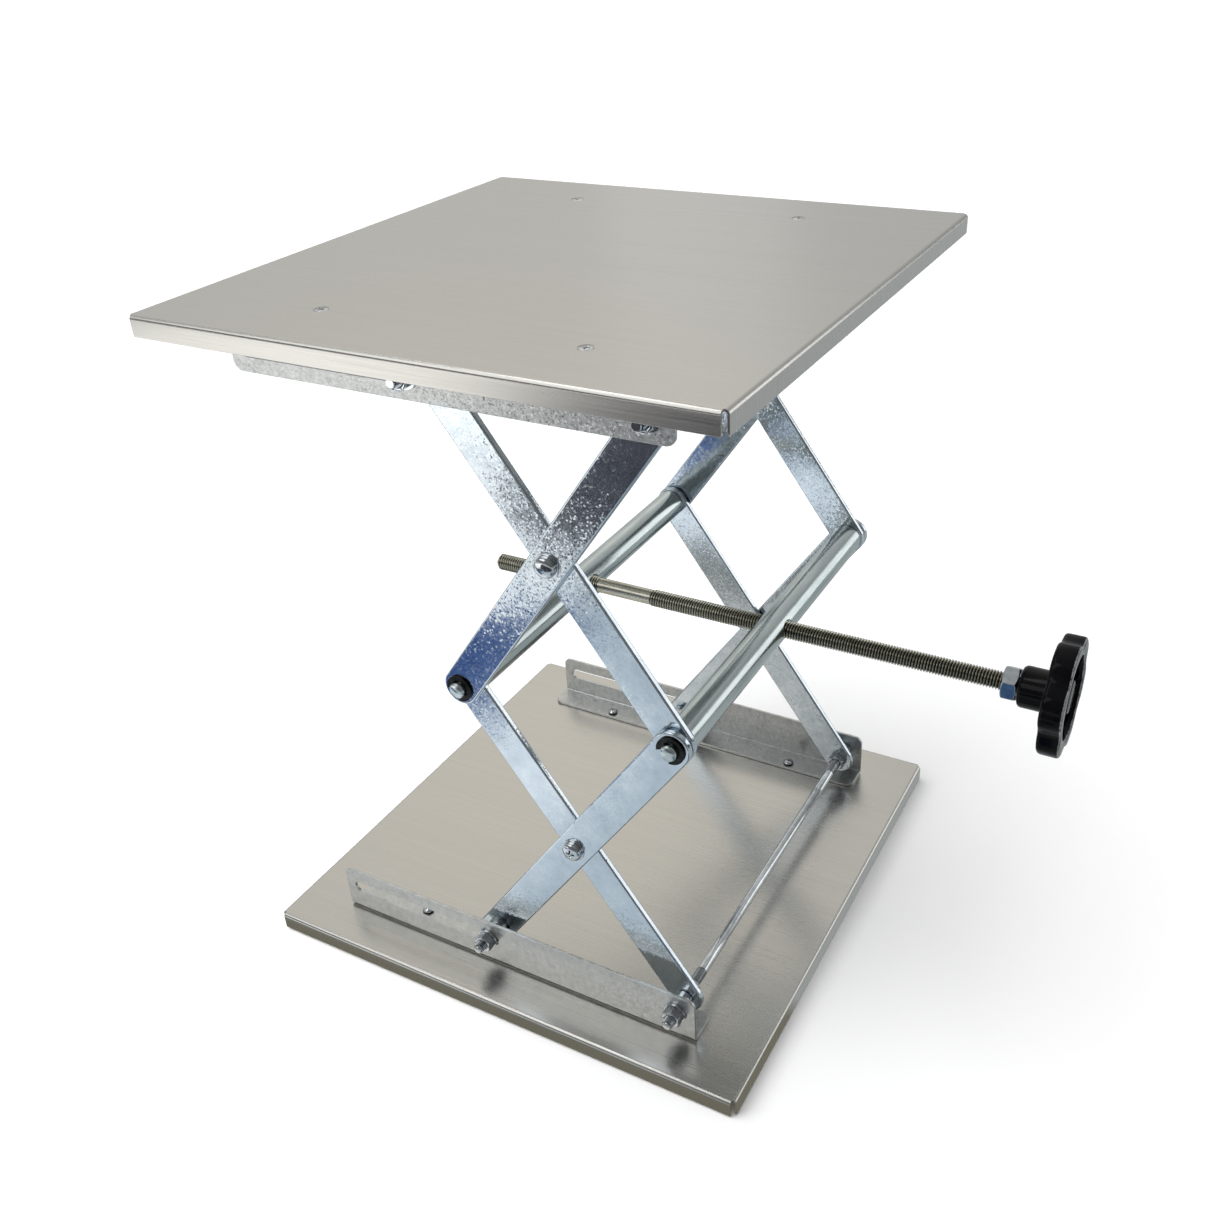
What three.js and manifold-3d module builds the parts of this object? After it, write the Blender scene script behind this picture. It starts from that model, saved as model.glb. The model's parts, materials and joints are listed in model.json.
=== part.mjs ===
// Laboratory scissor jack: two folded sheet plates joined by a two-stage scissor of flat
// bars. A lead screw with opposite threads draws two cross bars together to raise the top.
//
// Units are millimetres, +Z is up, the lead screw lies along X with its handwheel at +X.
// The origin is on the bench, in the middle of the overall length and width.

import * as THREE from 'three';
import * as BufferGeometryUtils from 'three/addons/utils/BufferGeometryUtils.js';
import Module from 'manifold-3d';

const wasm = await Module();
wasm.setup();

// ---- Driving dimensions -------------------------------------------------------------

// Plates
const PLATE_SIDE = 250;
const PLATE_THICKNESS = 1;
const SKIRT_DEPTH = 8.5;
const FOLD_RADIUS = 1.8;
const CORNER_GAP = 2;

// Rails, which are L sections with the upright flange on the outer side
const RAIL_START = -96.5;
const RAIL_END = 96.5;
const RAIL_HEIGHT = 24;
const RAIL_DEPTH = 15.7;
const RAIL_THICKNESS = 1.5;
const RAIL_FOLD = 2.2;
const RAIL_OUTER_Y = 103.75;
const RAIL_CORNER = 4;
const SLOT_START = -91.5;
const SLOT_END = -6;
const SLOT_WIDTH = 6.2;

// Scissor linkage
const ARM_LENGTH = 170;
const ARM_WIDTH = 16;
const ARM_THICKNESS = 3;
const REST_ANGLE = THREE.MathUtils.degToRad(54.5);
const PIVOT_X = 87;
const PIVOT_ABOVE_RAIL = 14.4;
const INNER_ARM_Y = 91.3;
const OUTER_ARM_Y = 95.2;

// Cross bars and their clips
const BAR_RADIUS = 7;
const BAR_SHOULDER_Y = 91;
const PIN_RADIUS = 3.5;
const PIN_END_Y = 101.4;
const GROOVE_RADIUS = 2.7;
const CLIP_Y = 98.5;
const CLIP_THICKNESS = 0.7;
const CLIP_RADIUS = 6.1;
const CLIP_POCKET = 1.3;
const CLIP_MOUTH = THREE.MathUtils.degToRad(72);
const CLIP_TILT = THREE.MathUtils.degToRad(45);
const BAR_EDGE = 0.4;

// Lead screw, lock nut and handwheel, along X
const SCREW_RADIUS = 3.95;
const SHANK_RADIUS = 3.55;
const SCREW_TIP = -58.5;
const SCREW_TIP_CHAMFER = 1;
const SHANK_START = -2;
const SHANK_END = 26.5;
const LOCK_NUT_START = 188.2;
const LOCK_NUT_LENGTH = 6.3;
const LOCK_NUT_FLATS = 13;
const HUB_START = 195;
const WHEEL_START = 207;
const WHEEL_END = 216;
const HUB_RADIUS = 8.7;
const WHEEL_RADIUS = 25;
const WHEEL_LOBES = 6;
const FIRST_LOBE = THREE.MathUtils.degToRad(45);
const LOBE_DEPTH = 3;
const DISH_RADIUS = 17.5;
const DISH_DEPTH = 6;
const BOSS_RADIUS = 8;

// Pivot fasteners, nominal 5 mm thread
const BOLT_RADIUS = 2.5;
const BOLT_END_Y = 112.5;
const NUT_FLATS = 8;
const NUT_LENGTH = 4;
const WASHER_RADIUS = 5.2;
const WASHER_THICKNESS = 0.8;
const SPACER_RADIUS = 4;
const BOLT_HEAD_LENGTH = 3.4;
const ROD_EDGE = 0.5;
const PIVOT_HEAD_RADIUS = 4.4;
const PIVOT_HEAD_HEIGHT = 2.3;
const PIVOT_END_PROUD = 0.8;

// Plate fasteners, nominal 3 mm thread
const SMALL_SCREW_RADIUS = 1.5;
const SMALL_SCREW_X = 57.5;
const SMALL_SCREW_Y = 92;
const SMALL_SCREW_LENGTH = 7;
const RAIL_HOLE_RADIUS = 2.2;
const FLAT_HEAD_RADIUS = 3;
const PAN_HEAD_RADIUS = 2.8;
const PAN_HEAD_HEIGHT = 2;

// Clearances
const SEAT_GAP = 0.1;
const FIT_GAP = 0.3;

// How far a cutting or joining solid runs past the face that it passes through
const LAP = 1;

// Straight sides that a round outline is drawn with
const ROD_SIDES = 16;
const BAR_SIDES = 20;
const WHEEL_SIDES = 24;
const LOBE_STEPS = 12;

// Straight sides that each arc of a flat outline is drawn with
const CLIP_STEPS = 3;
const BEND_STEPS = 4;
const SLOT_STEPS = 6;
const HOLE_STEPS = 8;

// Points closer together than this are one point of a solid
const MERGE_DISTANCE = 1e-5;

// ---- Derived positions --------------------------------------------------------------

const PIVOT_Z = SKIRT_DEPTH + SEAT_GAP + PIVOT_ABOVE_RAIL;
const STAGE_HEIGHT = ARM_LENGTH * Math.sin(REST_ANGLE);
const SLIDER_X = PIVOT_X - ARM_LENGTH * Math.cos(REST_ANGLE);
const BAR_Z = PIVOT_Z + STAGE_HEIGHT;
const TOP_PIVOT_Z = BAR_Z + STAGE_HEIGHT;
const TOP_Z = TOP_PIVOT_Z + PIVOT_ABOVE_RAIL + SEAT_GAP + PLATE_THICKNESS;
const ORIGIN_X = (WHEEL_END - PLATE_SIDE / 2) / 2;
const RAIL_INNER_Y = RAIL_OUTER_Y - RAIL_THICKNESS;
const SIDES = [['near', -1], ['far', 1]];

// ---- Colours ------------------------------------------------------------------------

const steel = (color, roughness) => new THREE.MeshStandardMaterial({ color, roughness, metalness: 1 });
const stainless = steel(0xb0afab, 0.35);
const galvanised = steel(0xb9bdbd, 0.45);
const zinc = steel(0xc8d4de, 0.25);
const barSteel = steel(0x9aa6a4, 0.3);
const screwSteel = steel(0x8f8b78, 0.35);
const clipSteel = steel(0x1c1b1b, 0.4);
const blackPlastic = new THREE.MeshStandardMaterial({ color: 0x0b0b0d, roughness: 0.2, metalness: 0 });

// ---- Solids -------------------------------------------------------------------------

// A closed geometry as a solid that can be joined and cut.
function solid(geometry) {
  const plain = geometry.clone();
  plain.deleteAttribute('normal');
  plain.deleteAttribute('uv');
  const merged = BufferGeometryUtils.mergeVertices(plain, MERGE_DISTANCE);
  const vertProperties = new Float32Array(merged.attributes.position.array);
  const triVerts = new Uint32Array(merged.index.array);
  return new wasm.Manifold(new wasm.Mesh({ numProp: 3, vertProperties, triVerts }));
}

// A solid back as a geometry.
function surface(body) {
  const mesh = body.getMesh();
  const geometry = new THREE.BufferGeometry();
  geometry.setAttribute('position', new THREE.BufferAttribute(new Float32Array(mesh.vertProperties), 3));
  geometry.setIndex(new THREE.BufferAttribute(new Uint32Array(mesh.triVerts), 1));
  geometry.computeVertexNormals();
  return geometry;
}

function extrude(shape, depth, curveSegments) {
  return new THREE.ExtrudeGeometry(shape, { depth, bevelEnabled: false, curveSegments });
}

// An outline in X and Z, given thickness along Y from y0 to y1.
function plateAcrossY(shape, y0, y1, curveSegments = BEND_STEPS) {
  return extrude(shape, y1 - y0, curveSegments).rotateX(Math.PI / 2).translate(0, y1, 0);
}

// A section in Y and Z, drawn out along X from x0 to x1.
function barAlongX(shape, x0, x1, curveSegments = BEND_STEPS) {
  const turn = new THREE.Matrix4().set(0, 0, 1, x0, 1, 0, 0, 0, 0, 1, 0, 0, 0, 0, 0, 1);
  return extrude(shape, x1 - x0, curveSegments).applyMatrix4(turn);
}

// A turned piece about Y. The profile is a list of [radius, y] with y rising.
function turnedAboutY(profile, segments) {
  return new THREE.LatheGeometry(profile.map(([r, y]) => new THREE.Vector2(r, y)), segments);
}

// A turned piece about X. The profile is a list of [radius, x] with x rising.
function turnedAboutX(profile, segments) {
  return turnedAboutY(profile, segments).rotateZ(-Math.PI / 2);
}

// A turned piece about Z. The profile is a list of [radius, z] with z rising.
function turnedAboutZ(profile, segments) {
  return turnedAboutY(profile, segments).rotateX(Math.PI / 2);
}

function rodProfile(radius, start, end) {
  return [[0, start], [radius, start], [radius, end], [0, end]];
}

function circlePath(x, y, radius) {
  return new THREE.Path().absarc(x, y, radius, 0, 2 * Math.PI, true);
}

function hexagon(flats) {
  const corner = flats / 2 / Math.cos(Math.PI / 6);
  const points = [];
  for (let i = 0; i < 6; i += 1) {
    const angle = i * Math.PI / 3;
    points.push(new THREE.Vector2(corner * Math.cos(angle), corner * Math.sin(angle)));
  }
  return new THREE.Shape(points);
}

// ---- Plates -------------------------------------------------------------------------

// One folded edge in section: x runs outward and y up, with the outer face at x = 0.
function foldSection() {
  const inner = FOLD_RADIUS - PLATE_THICKNESS;
  const shape = new THREE.Shape();
  shape.moveTo(-FOLD_RADIUS - LAP, 0);
  shape.lineTo(-FOLD_RADIUS - LAP, -PLATE_THICKNESS);
  shape.lineTo(-FOLD_RADIUS, -PLATE_THICKNESS);
  shape.absarc(-FOLD_RADIUS, -FOLD_RADIUS, inner, Math.PI / 2, 0, true);
  shape.lineTo(-PLATE_THICKNESS, -SKIRT_DEPTH);
  shape.lineTo(0, -SKIRT_DEPTH);
  shape.lineTo(0, -FOLD_RADIUS);
  shape.absarc(-FOLD_RADIUS, -FOLD_RADIUS, FOLD_RADIUS, 0, Math.PI / 2, false);
  return shape;
}

// A square sheet with its four edges folded down. Its upper face is at z = 0.
function foldedPlate() {
  const flat = PLATE_SIDE - 2 * FOLD_RADIUS;
  const sheet = new THREE.BoxGeometry(flat, flat, PLATE_THICKNESS).translate(0, 0, -PLATE_THICKNESS / 2);
  const reach = PLATE_SIDE / 2 - CORNER_GAP;
  let plate = solid(sheet);
  for (let i = 0; i < 4; i += 1) {
    const edge = barAlongX(foldSection(), -reach, reach).translate(0, PLATE_SIDE / 2, 0);
    plate = plate.add(solid(edge.rotateZ(i * Math.PI / 2)));
  }
  return plate;
}

// The four places where a plate is screwed to its rails.
function screwPlaces() {
  const places = [];
  for (const y of [-SMALL_SCREW_Y, SMALL_SCREW_Y]) {
    for (const x of [-SMALL_SCREW_X, SMALL_SCREW_X]) places.push([x, y]);
  }
  return places;
}

function cutScrewHoles(plate, profile) {
  let cut = plate;
  for (const [x, y] of screwPlaces()) {
    cut = cut.subtract(solid(turnedAboutZ(profile, ROD_SIDES).translate(x, y, 0)));
  }
  return cut;
}

function basePlate() {
  const hole = rodProfile(SMALL_SCREW_RADIUS + FIT_GAP, -PLATE_THICKNESS - LAP, LAP);
  return surface(cutScrewHoles(foldedPlate(), hole));
}

// The top plate's holes are countersunk at 45 degrees.
function topPlate() {
  const mouth = FLAT_HEAD_RADIUS + FIT_GAP;
  const depth = PLATE_THICKNESS + LAP;
  const hole = [[0, -depth], [mouth - depth, -depth], [mouth + LAP, LAP], [0, LAP]];
  return surface(cutScrewHoles(foldedPlate(), hole));
}

// ---- Rails --------------------------------------------------------------------------

// The L section in Y and Z, with its foot at z = 0. side is -1 for the near rail.
function railSection(side) {
  const outer = side * RAIL_OUTER_Y;
  const inside = side * RAIL_INNER_Y;
  const toe = side * (RAIL_OUTER_Y - RAIL_DEPTH);
  const bend = side * (RAIL_OUTER_Y - RAIL_FOLD);
  const inner = RAIL_FOLD - RAIL_THICKNESS;
  const wall = side > 0 ? 0 : Math.PI;
  const shape = new THREE.Shape();
  shape.moveTo(outer, RAIL_HEIGHT);
  shape.lineTo(outer, RAIL_FOLD);
  shape.absarc(bend, RAIL_FOLD, RAIL_FOLD, wall, -Math.PI / 2, side > 0);
  shape.lineTo(toe, 0);
  shape.lineTo(toe, RAIL_THICKNESS);
  shape.lineTo(bend, RAIL_THICKNESS);
  shape.absarc(bend, RAIL_FOLD, inner, -Math.PI / 2, wall, side < 0);
  shape.lineTo(inside, RAIL_HEIGHT);
  return shape;
}

// A rectangle whose two corners on the side of v1 are rounded.
function roundedStrip(u0, u1, v0, v1, radius) {
  const up = Math.sign(v1 - v0);
  const shape = new THREE.Shape();
  shape.moveTo(u0, v0);
  shape.lineTo(u1, v0);
  shape.lineTo(u1, v1 - up * radius);
  shape.quadraticCurveTo(u1, v1, u1 - radius, v1);
  shape.lineTo(u0 + radius, v1);
  shape.quadraticCurveTo(u0, v1, u0, v1 - up * radius);
  return shape;
}

function slotShape(x0, x1, z, width) {
  const radius = width / 2;
  const shape = new THREE.Shape();
  shape.absarc(x1 - radius, z, radius, -Math.PI / 2, Math.PI / 2, false);
  shape.absarc(x0 + radius, z, radius, Math.PI / 2, 3 * Math.PI / 2, false);
  return shape;
}

function rail(side) {
  const reach = RAIL_OUTER_Y + LAP;
  const toe = RAIL_OUTER_Y - RAIL_DEPTH;
  const faces = [side * (toe - LAP), side * reach].sort((a, b) => a - b);
  const upright = roundedStrip(RAIL_START, RAIL_END, -LAP, RAIL_HEIGHT, RAIL_CORNER);
  const foot = roundedStrip(RAIL_START, RAIL_END, side * reach, side * toe, RAIL_CORNER);
  const slot = slotShape(SLOT_START, SLOT_END, PIVOT_ABOVE_RAIL, SLOT_WIDTH);
  const bore = new THREE.Shape().absarc(PIVOT_X, PIVOT_ABOVE_RAIL, BOLT_RADIUS + FIT_GAP, 0, 2 * Math.PI);
  let body = solid(barAlongX(railSection(side), RAIL_START, RAIL_END));
  body = body.intersect(solid(plateAcrossY(upright, ...faces)));
  body = body.intersect(solid(extrude(foot, RAIL_HEIGHT + 2 * LAP, BEND_STEPS).translate(0, 0, -LAP)));
  body = body.subtract(solid(plateAcrossY(slot, ...faces, SLOT_STEPS)));
  body = body.subtract(solid(plateAcrossY(bore, ...faces, HOLE_STEPS)));
  for (const x of [-SMALL_SCREW_X, SMALL_SCREW_X]) {
    const hole = rodProfile(RAIL_HOLE_RADIUS, -LAP, RAIL_THICKNESS + LAP);
    body = body.subtract(solid(turnedAboutZ(hole, ROD_SIDES).translate(x, side * SMALL_SCREW_Y, 0)));
  }
  return surface(body);
}

// ---- Scissor arms -------------------------------------------------------------------

// A flat bar with round ends along +X from its bolted end at the origin. The middle hole
// takes the pivot screw, and the far hole the pin of a cross bar.
function arm() {
  const radius = ARM_WIDTH / 2;
  const shape = new THREE.Shape();
  shape.absarc(ARM_LENGTH, 0, radius, -Math.PI / 2, Math.PI / 2, false);
  shape.absarc(0, 0, radius, Math.PI / 2, 3 * Math.PI / 2, false);
  shape.holes.push(circlePath(0, 0, BOLT_RADIUS + FIT_GAP));
  shape.holes.push(circlePath(ARM_LENGTH / 2, 0, BOLT_RADIUS + FIT_GAP));
  shape.holes.push(circlePath(ARM_LENGTH, 0, PIN_RADIUS + FIT_GAP));
  return plateAcrossY(shape, -ARM_THICKNESS / 2, ARM_THICKNESS / 2, SLOT_STEPS);
}

// ---- Cross bars and clips -----------------------------------------------------------

// A round bar along Y with a turned pin at each end, a groove in each pin for its clip,
// and a cross hole for the lead screw.
function crossBar() {
  const grooveStart = CLIP_Y - SEAT_GAP;
  const grooveEnd = CLIP_Y + CLIP_THICKNESS + SEAT_GAP;
  const half = [
    [BAR_RADIUS, BAR_SHOULDER_Y - BAR_EDGE],
    [BAR_RADIUS - BAR_EDGE, BAR_SHOULDER_Y],
    [PIN_RADIUS, BAR_SHOULDER_Y],
    [PIN_RADIUS, grooveStart],
    [GROOVE_RADIUS, grooveStart],
    [GROOVE_RADIUS, grooveEnd],
    [PIN_RADIUS, grooveEnd],
    [PIN_RADIUS, PIN_END_Y - BAR_EDGE],
    [PIN_RADIUS - BAR_EDGE, PIN_END_Y],
    [0, PIN_END_Y],
  ];
  const mirrored = half.map(([r, y]) => [r, -y]).reverse();
  const bar = solid(turnedAboutY([...mirrored, ...half], BAR_SIDES));
  const hole = rodProfile(SCREW_RADIUS + FIT_GAP, -BAR_RADIUS - LAP, BAR_RADIUS + LAP);
  return surface(bar.subtract(solid(turnedAboutX(hole, BAR_SIDES))));
}

// An E-shaped clip in X and Z whose open side faces -X. Three lugs reach into the groove.
function clip() {
  const bore = GROOVE_RADIUS + FIT_GAP;
  const pocket = bore + CLIP_POCKET;
  const open = Math.PI - CLIP_MOUTH / 2;
  const lug = open / 10;
  const shape = new THREE.Shape();
  shape.absarc(0, 0, CLIP_RADIUS, -open, open, false);
  shape.absarc(0, 0, bore, open - lug, open - 3 * lug, true);
  shape.absarc(0, 0, pocket, open - 4.5 * lug, 2 * lug, true);
  shape.absarc(0, 0, bore, lug, -lug, true);
  shape.absarc(0, 0, pocket, -2 * lug, 4.5 * lug - open, true);
  shape.absarc(0, 0, bore, 3 * lug - open, lug - open, true);
  return plateAcrossY(shape, CLIP_Y, CLIP_Y + CLIP_THICKNESS, CLIP_STEPS);
}

// ---- Lead screw and handwheel -------------------------------------------------------

function leadScrew() {
  const profile = [
    [0, SCREW_TIP],
    [SCREW_RADIUS - SCREW_TIP_CHAMFER, SCREW_TIP],
    [SCREW_RADIUS, SCREW_TIP + SCREW_TIP_CHAMFER],
    [SCREW_RADIUS, SHANK_START],
    [SHANK_RADIUS, SHANK_START],
    [SHANK_RADIUS, SHANK_END],
    [SCREW_RADIUS, SHANK_END],
    [SCREW_RADIUS, WHEEL_START],
    [0, WHEEL_START],
  ];
  return turnedAboutX(profile, BAR_SIDES);
}

function lockNut() {
  const shape = hexagon(LOCK_NUT_FLATS);
  shape.holes.push(circlePath(0, 0, SCREW_RADIUS + FIT_GAP));
  return barAlongX(shape, LOCK_NUT_START, LOCK_NUT_START + LOCK_NUT_LENGTH, SLOT_STEPS);
}

// The wheel's rim, a circle drawn in and out by its lobes.
function lobedOutline() {
  const count = WHEEL_LOBES * LOBE_STEPS;
  const points = [];
  for (let i = 0; i < count; i += 1) {
    const angle = 2 * Math.PI * i / count;
    const wave = (1 - Math.cos(WHEEL_LOBES * (angle - FIRST_LOBE))) / 2;
    const radius = WHEEL_RADIUS - LOBE_DEPTH * wave ** 2;
    points.push(new THREE.Vector2(radius * Math.cos(angle), radius * Math.sin(angle)));
  }
  return new THREE.Shape(points);
}

// A lobed wheel on a round hub. Its outer face is dished around a central boss, and the
// blind bore from the hub side takes the end of the lead screw.
function handwheel() {
  const hub = turnedAboutX(rodProfile(HUB_RADIUS, HUB_START, WHEEL_START + LAP), WHEEL_SIDES);
  const floor = WHEEL_END - DISH_DEPTH;
  const dish = [
    [BOSS_RADIUS, floor],
    [DISH_RADIUS, floor],
    [DISH_RADIUS, WHEEL_END + LAP],
    [BOSS_RADIUS, WHEEL_END + LAP],
    [BOSS_RADIUS, floor],
  ];
  const bore = rodProfile(SCREW_RADIUS + FIT_GAP, HUB_START - LAP, WHEEL_START + FIT_GAP);
  let wheel = solid(barAlongX(lobedOutline(), WHEEL_START, WHEEL_END));
  wheel = wheel.add(solid(hub));
  wheel = wheel.subtract(solid(turnedAboutX(dish, WHEEL_SIDES)));
  wheel = wheel.subtract(solid(turnedAboutX(bore, WHEEL_SIDES)));
  return surface(wheel);
}

// ---- Fasteners, built pointing outward along +Y -------------------------------------

function tieRod() {
  return turnedAboutY([
    [0, -BOLT_END_Y],
    [BOLT_RADIUS - ROD_EDGE, -BOLT_END_Y],
    [BOLT_RADIUS, ROD_EDGE - BOLT_END_Y],
    [BOLT_RADIUS, BOLT_END_Y - ROD_EDGE],
    [BOLT_RADIUS - ROD_EDGE, BOLT_END_Y],
    [0, BOLT_END_Y],
  ], ROD_SIDES);
}

// A hexagon nut with its washer on the rail's outer face.
function railNut() {
  const start = RAIL_OUTER_Y + FIT_GAP;
  const seat = start + WASHER_THICKNESS;
  const end = seat + NUT_LENGTH;
  const hex = plateAcrossY(hexagon(NUT_FLATS), seat - SEAT_GAP, end);
  const washer = turnedAboutY(rodProfile(WASHER_RADIUS, start, seat), ROD_SIDES);
  const bore = turnedAboutY(rodProfile(BOLT_RADIUS + FIT_GAP, start - LAP, end + LAP), ROD_SIDES);
  return surface(solid(hex).add(solid(washer)).subtract(solid(bore)));
}

// A round sleeve that holds an arm clear of its rail.
function spacer(start) {
  const bore = BOLT_RADIUS + FIT_GAP;
  const end = RAIL_INNER_Y - FIT_GAP;
  return turnedAboutY([
    [bore, start],
    [SPACER_RADIUS, start],
    [SPACER_RADIUS, end],
    [bore, end],
    [bore, start],
  ], ROD_SIDES);
}

// A hexagon-head bolt from the inner face of an arm out through the rail's slot.
function sliderBolt(armInnerY) {
  const seat = armInnerY - FIT_GAP;
  const head = plateAcrossY(hexagon(NUT_FLATS), seat - BOLT_HEAD_LENGTH, seat);
  const shank = turnedAboutY(rodProfile(BOLT_RADIUS, seat - LAP, BOLT_END_Y), ROD_SIDES);
  return surface(solid(head).add(solid(shank)));
}

// A round head as [radius, y] points, from its underside up to its crown.
function roundHead(radius, height, under) {
  return [
    [radius, under],
    [radius, under + height / 2],
    [radius * 0.8, under + height * 0.85],
    [radius * 0.45, under + height],
    [0, under + height],
  ];
}

// A round-headed screw with a captive washer, inserted from the outer arm.
function pivotScrew() {
  const end = INNER_ARM_Y - FIT_GAP - NUT_LENGTH - PIVOT_END_PROUD;
  const seat = OUTER_ARM_Y + ARM_THICKNESS + FIT_GAP;
  const under = seat + WASHER_THICKNESS;
  return turnedAboutY([
    [0, end],
    [BOLT_RADIUS, end],
    [BOLT_RADIUS, seat],
    [WASHER_RADIUS, seat],
    [WASHER_RADIUS, under],
    ...roundHead(PIVOT_HEAD_RADIUS, PIVOT_HEAD_HEIGHT, under),
  ], ROD_SIDES);
}

// The nut on the inner end of a pivot screw.
function pivotNut() {
  const shape = hexagon(NUT_FLATS);
  shape.holes.push(circlePath(0, 0, BOLT_RADIUS + FIT_GAP));
  const end = INNER_ARM_Y - FIT_GAP;
  return plateAcrossY(shape, end - NUT_LENGTH, end);
}

// A countersunk screw with its flat head level with z = 0.
function flatScrew() {
  const depth = FLAT_HEAD_RADIUS - SMALL_SCREW_RADIUS;
  return turnedAboutZ([
    [0, -SMALL_SCREW_LENGTH],
    [SMALL_SCREW_RADIUS, -SMALL_SCREW_LENGTH],
    [SMALL_SCREW_RADIUS, -depth],
    [FLAT_HEAD_RADIUS, 0],
    [0, 0],
  ], ROD_SIDES);
}

// A round-headed screw whose head sits on z = 0. Its shank stops above the bench.
function panScrew() {
  const end = -SMALL_SCREW_LENGTH;
  return turnedAboutZ([
    [0, end],
    [SMALL_SCREW_RADIUS, end],
    [SMALL_SCREW_RADIUS, 0],
    ...roundHead(PAN_HEAD_RADIUS, PAN_HEAD_HEIGHT, 0),
  ], ROD_SIDES);
}

// ---- Assembly -----------------------------------------------------------------------

const jack = new THREE.Group();
jack.position.x = -ORIGIN_X;

// Adds one named piece. A side of -1 turns a piece built along +Y to face the near side.
function place(name, geometry, material, position, rotationY = 0, side = 1) {
  const mesh = new THREE.Mesh(geometry, material);
  mesh.name = name;
  const holder = new THREE.Group();
  holder.position.set(...position);
  holder.rotation.y = rotationY;
  mesh.rotation.z = side > 0 ? 0 : Math.PI;
  holder.add(mesh);
  jack.add(holder);
}

function addPlates() {
  place('base_plate', basePlate(), stainless, [0, 0, SKIRT_DEPTH]);
  place('top_plate', topPlate(), stainless, [0, 0, TOP_Z]);
  screwPlaces().forEach(([x, y], i) => {
    const headZ = SKIRT_DEPTH + SEAT_GAP + RAIL_THICKNESS + SEAT_GAP;
    place(`base_screw_${i + 1}`, panScrew(), zinc, [x, y, headZ]);
    place(`top_screw_${i + 1}`, flatScrew(), zinc, [x, y, TOP_Z]);
  });
}

// The top rails are the base rails turned upside down about X, which swaps near and far.
function addRails() {
  for (const [name, side] of SIDES) {
    place(`base_rail_${name}`, rail(side), galvanised, [0, 0, SKIRT_DEPTH + SEAT_GAP]);
    const inverted = rail(-side).rotateX(Math.PI);
    place(`top_rail_${name}`, inverted, galvanised, [0, 0, TOP_Z - PLATE_THICKNESS - SEAT_GAP]);
  }
}

// Each stage has an inner and an outer arm on each side, crossing at a pivot screw.
function addArms() {
  const rising = -REST_ANGLE;
  const stages = [
    ['lower_inner_arm', PIVOT_X, PIVOT_Z, Math.PI - rising, INNER_ARM_Y],
    ['lower_outer_arm', SLIDER_X, PIVOT_Z, rising, OUTER_ARM_Y],
    ['upper_inner_arm', SLIDER_X, TOP_PIVOT_Z, -rising, INNER_ARM_Y],
    ['upper_outer_arm', PIVOT_X, TOP_PIVOT_Z, Math.PI + rising, OUTER_ARM_Y],
  ];
  for (const [name, x, z, turn, innerY] of stages) {
    for (const [sideName, side] of SIDES) {
      const y = side * (innerY + ARM_THICKNESS / 2);
      place(`${name}_${sideName}`, arm(), zinc, [x, y, z], turn);
    }
  }
}

function addCrossBars() {
  for (const [name, x] of [['left', SLIDER_X], ['right', PIVOT_X]]) {
    place(`${name}_cross_bar`, crossBar(), barSteel, [x, 0, BAR_Z]);
    for (const [sideName, side] of SIDES) {
      const mouthTurn = side > 0 ? -CLIP_TILT : Math.PI - CLIP_TILT;
      place(`${name}_clip_${sideName}`, clip(), clipSteel, [x, 0, BAR_Z], mouthTurn, side);
    }
  }
}

function addDrive() {
  place('lead_screw', leadScrew(), screwSteel, [0, 0, BAR_Z]);
  place('lock_nut', lockNut(), zinc, [0, 0, BAR_Z]);
  place('handwheel', handwheel(), blackPlastic, [0, 0, BAR_Z]);
}

// A tie rod joins the two rails at the fixed pivots of each stage.
function addTieRods() {
  const rows = [['lower', PIVOT_Z, INNER_ARM_Y], ['upper', TOP_PIVOT_Z, OUTER_ARM_Y]];
  for (const [name, z, armInnerY] of rows) {
    place(`${name}_tie_rod`, tieRod(), zinc, [PIVOT_X, 0, z]);
    for (const [sideName, side] of SIDES) {
      const sleeve = spacer(armInnerY + ARM_THICKNESS + FIT_GAP);
      place(`${name}_tie_nut_${sideName}`, railNut(), zinc, [PIVOT_X, 0, z], 0, side);
      place(`${name}_tie_spacer_${sideName}`, sleeve, zinc, [PIVOT_X, 0, z], 0, side);
    }
  }
}

function addSliders() {
  const rows = [['lower', PIVOT_Z, OUTER_ARM_Y], ['upper', TOP_PIVOT_Z, INNER_ARM_Y]];
  for (const [name, z, armInnerY] of rows) {
    for (const [sideName, side] of SIDES) {
      place(`${name}_slider_bolt_${sideName}`, sliderBolt(armInnerY), zinc, [SLIDER_X, 0, z], 0, side);
      place(`${name}_slider_nut_${sideName}`, railNut(), zinc, [SLIDER_X, 0, z], 0, side);
    }
  }
}

function addPivots() {
  const x = (PIVOT_X + SLIDER_X) / 2;
  for (const [name, z] of [['lower', PIVOT_Z + STAGE_HEIGHT / 2], ['upper', BAR_Z + STAGE_HEIGHT / 2]]) {
    for (const [sideName, side] of SIDES) {
      place(`${name}_pivot_screw_${sideName}`, pivotScrew(), zinc, [x, 0, z], 0, side);
      place(`${name}_pivot_nut_${sideName}`, pivotNut(), zinc, [x, 0, z], 0, side);
    }
  }
}

addPlates();
addRails();
addArms();
addCrossBars();
addDrive();
addTieRods();
addSliders();
addPivots();

export default jack;
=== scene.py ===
# Looks of the laboratory scissor jack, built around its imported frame.
#
# Sizes are in millimetres and become metres when a piece is made. The axes are the row's:
# +X along the lead screw towards the handwheel, +Y towards the far side, +Z up.

import json
import math

import bmesh
import bpy
from mathutils import Matrix, Vector
from mathutils.geometry import delaunay_2d_cdt


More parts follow.
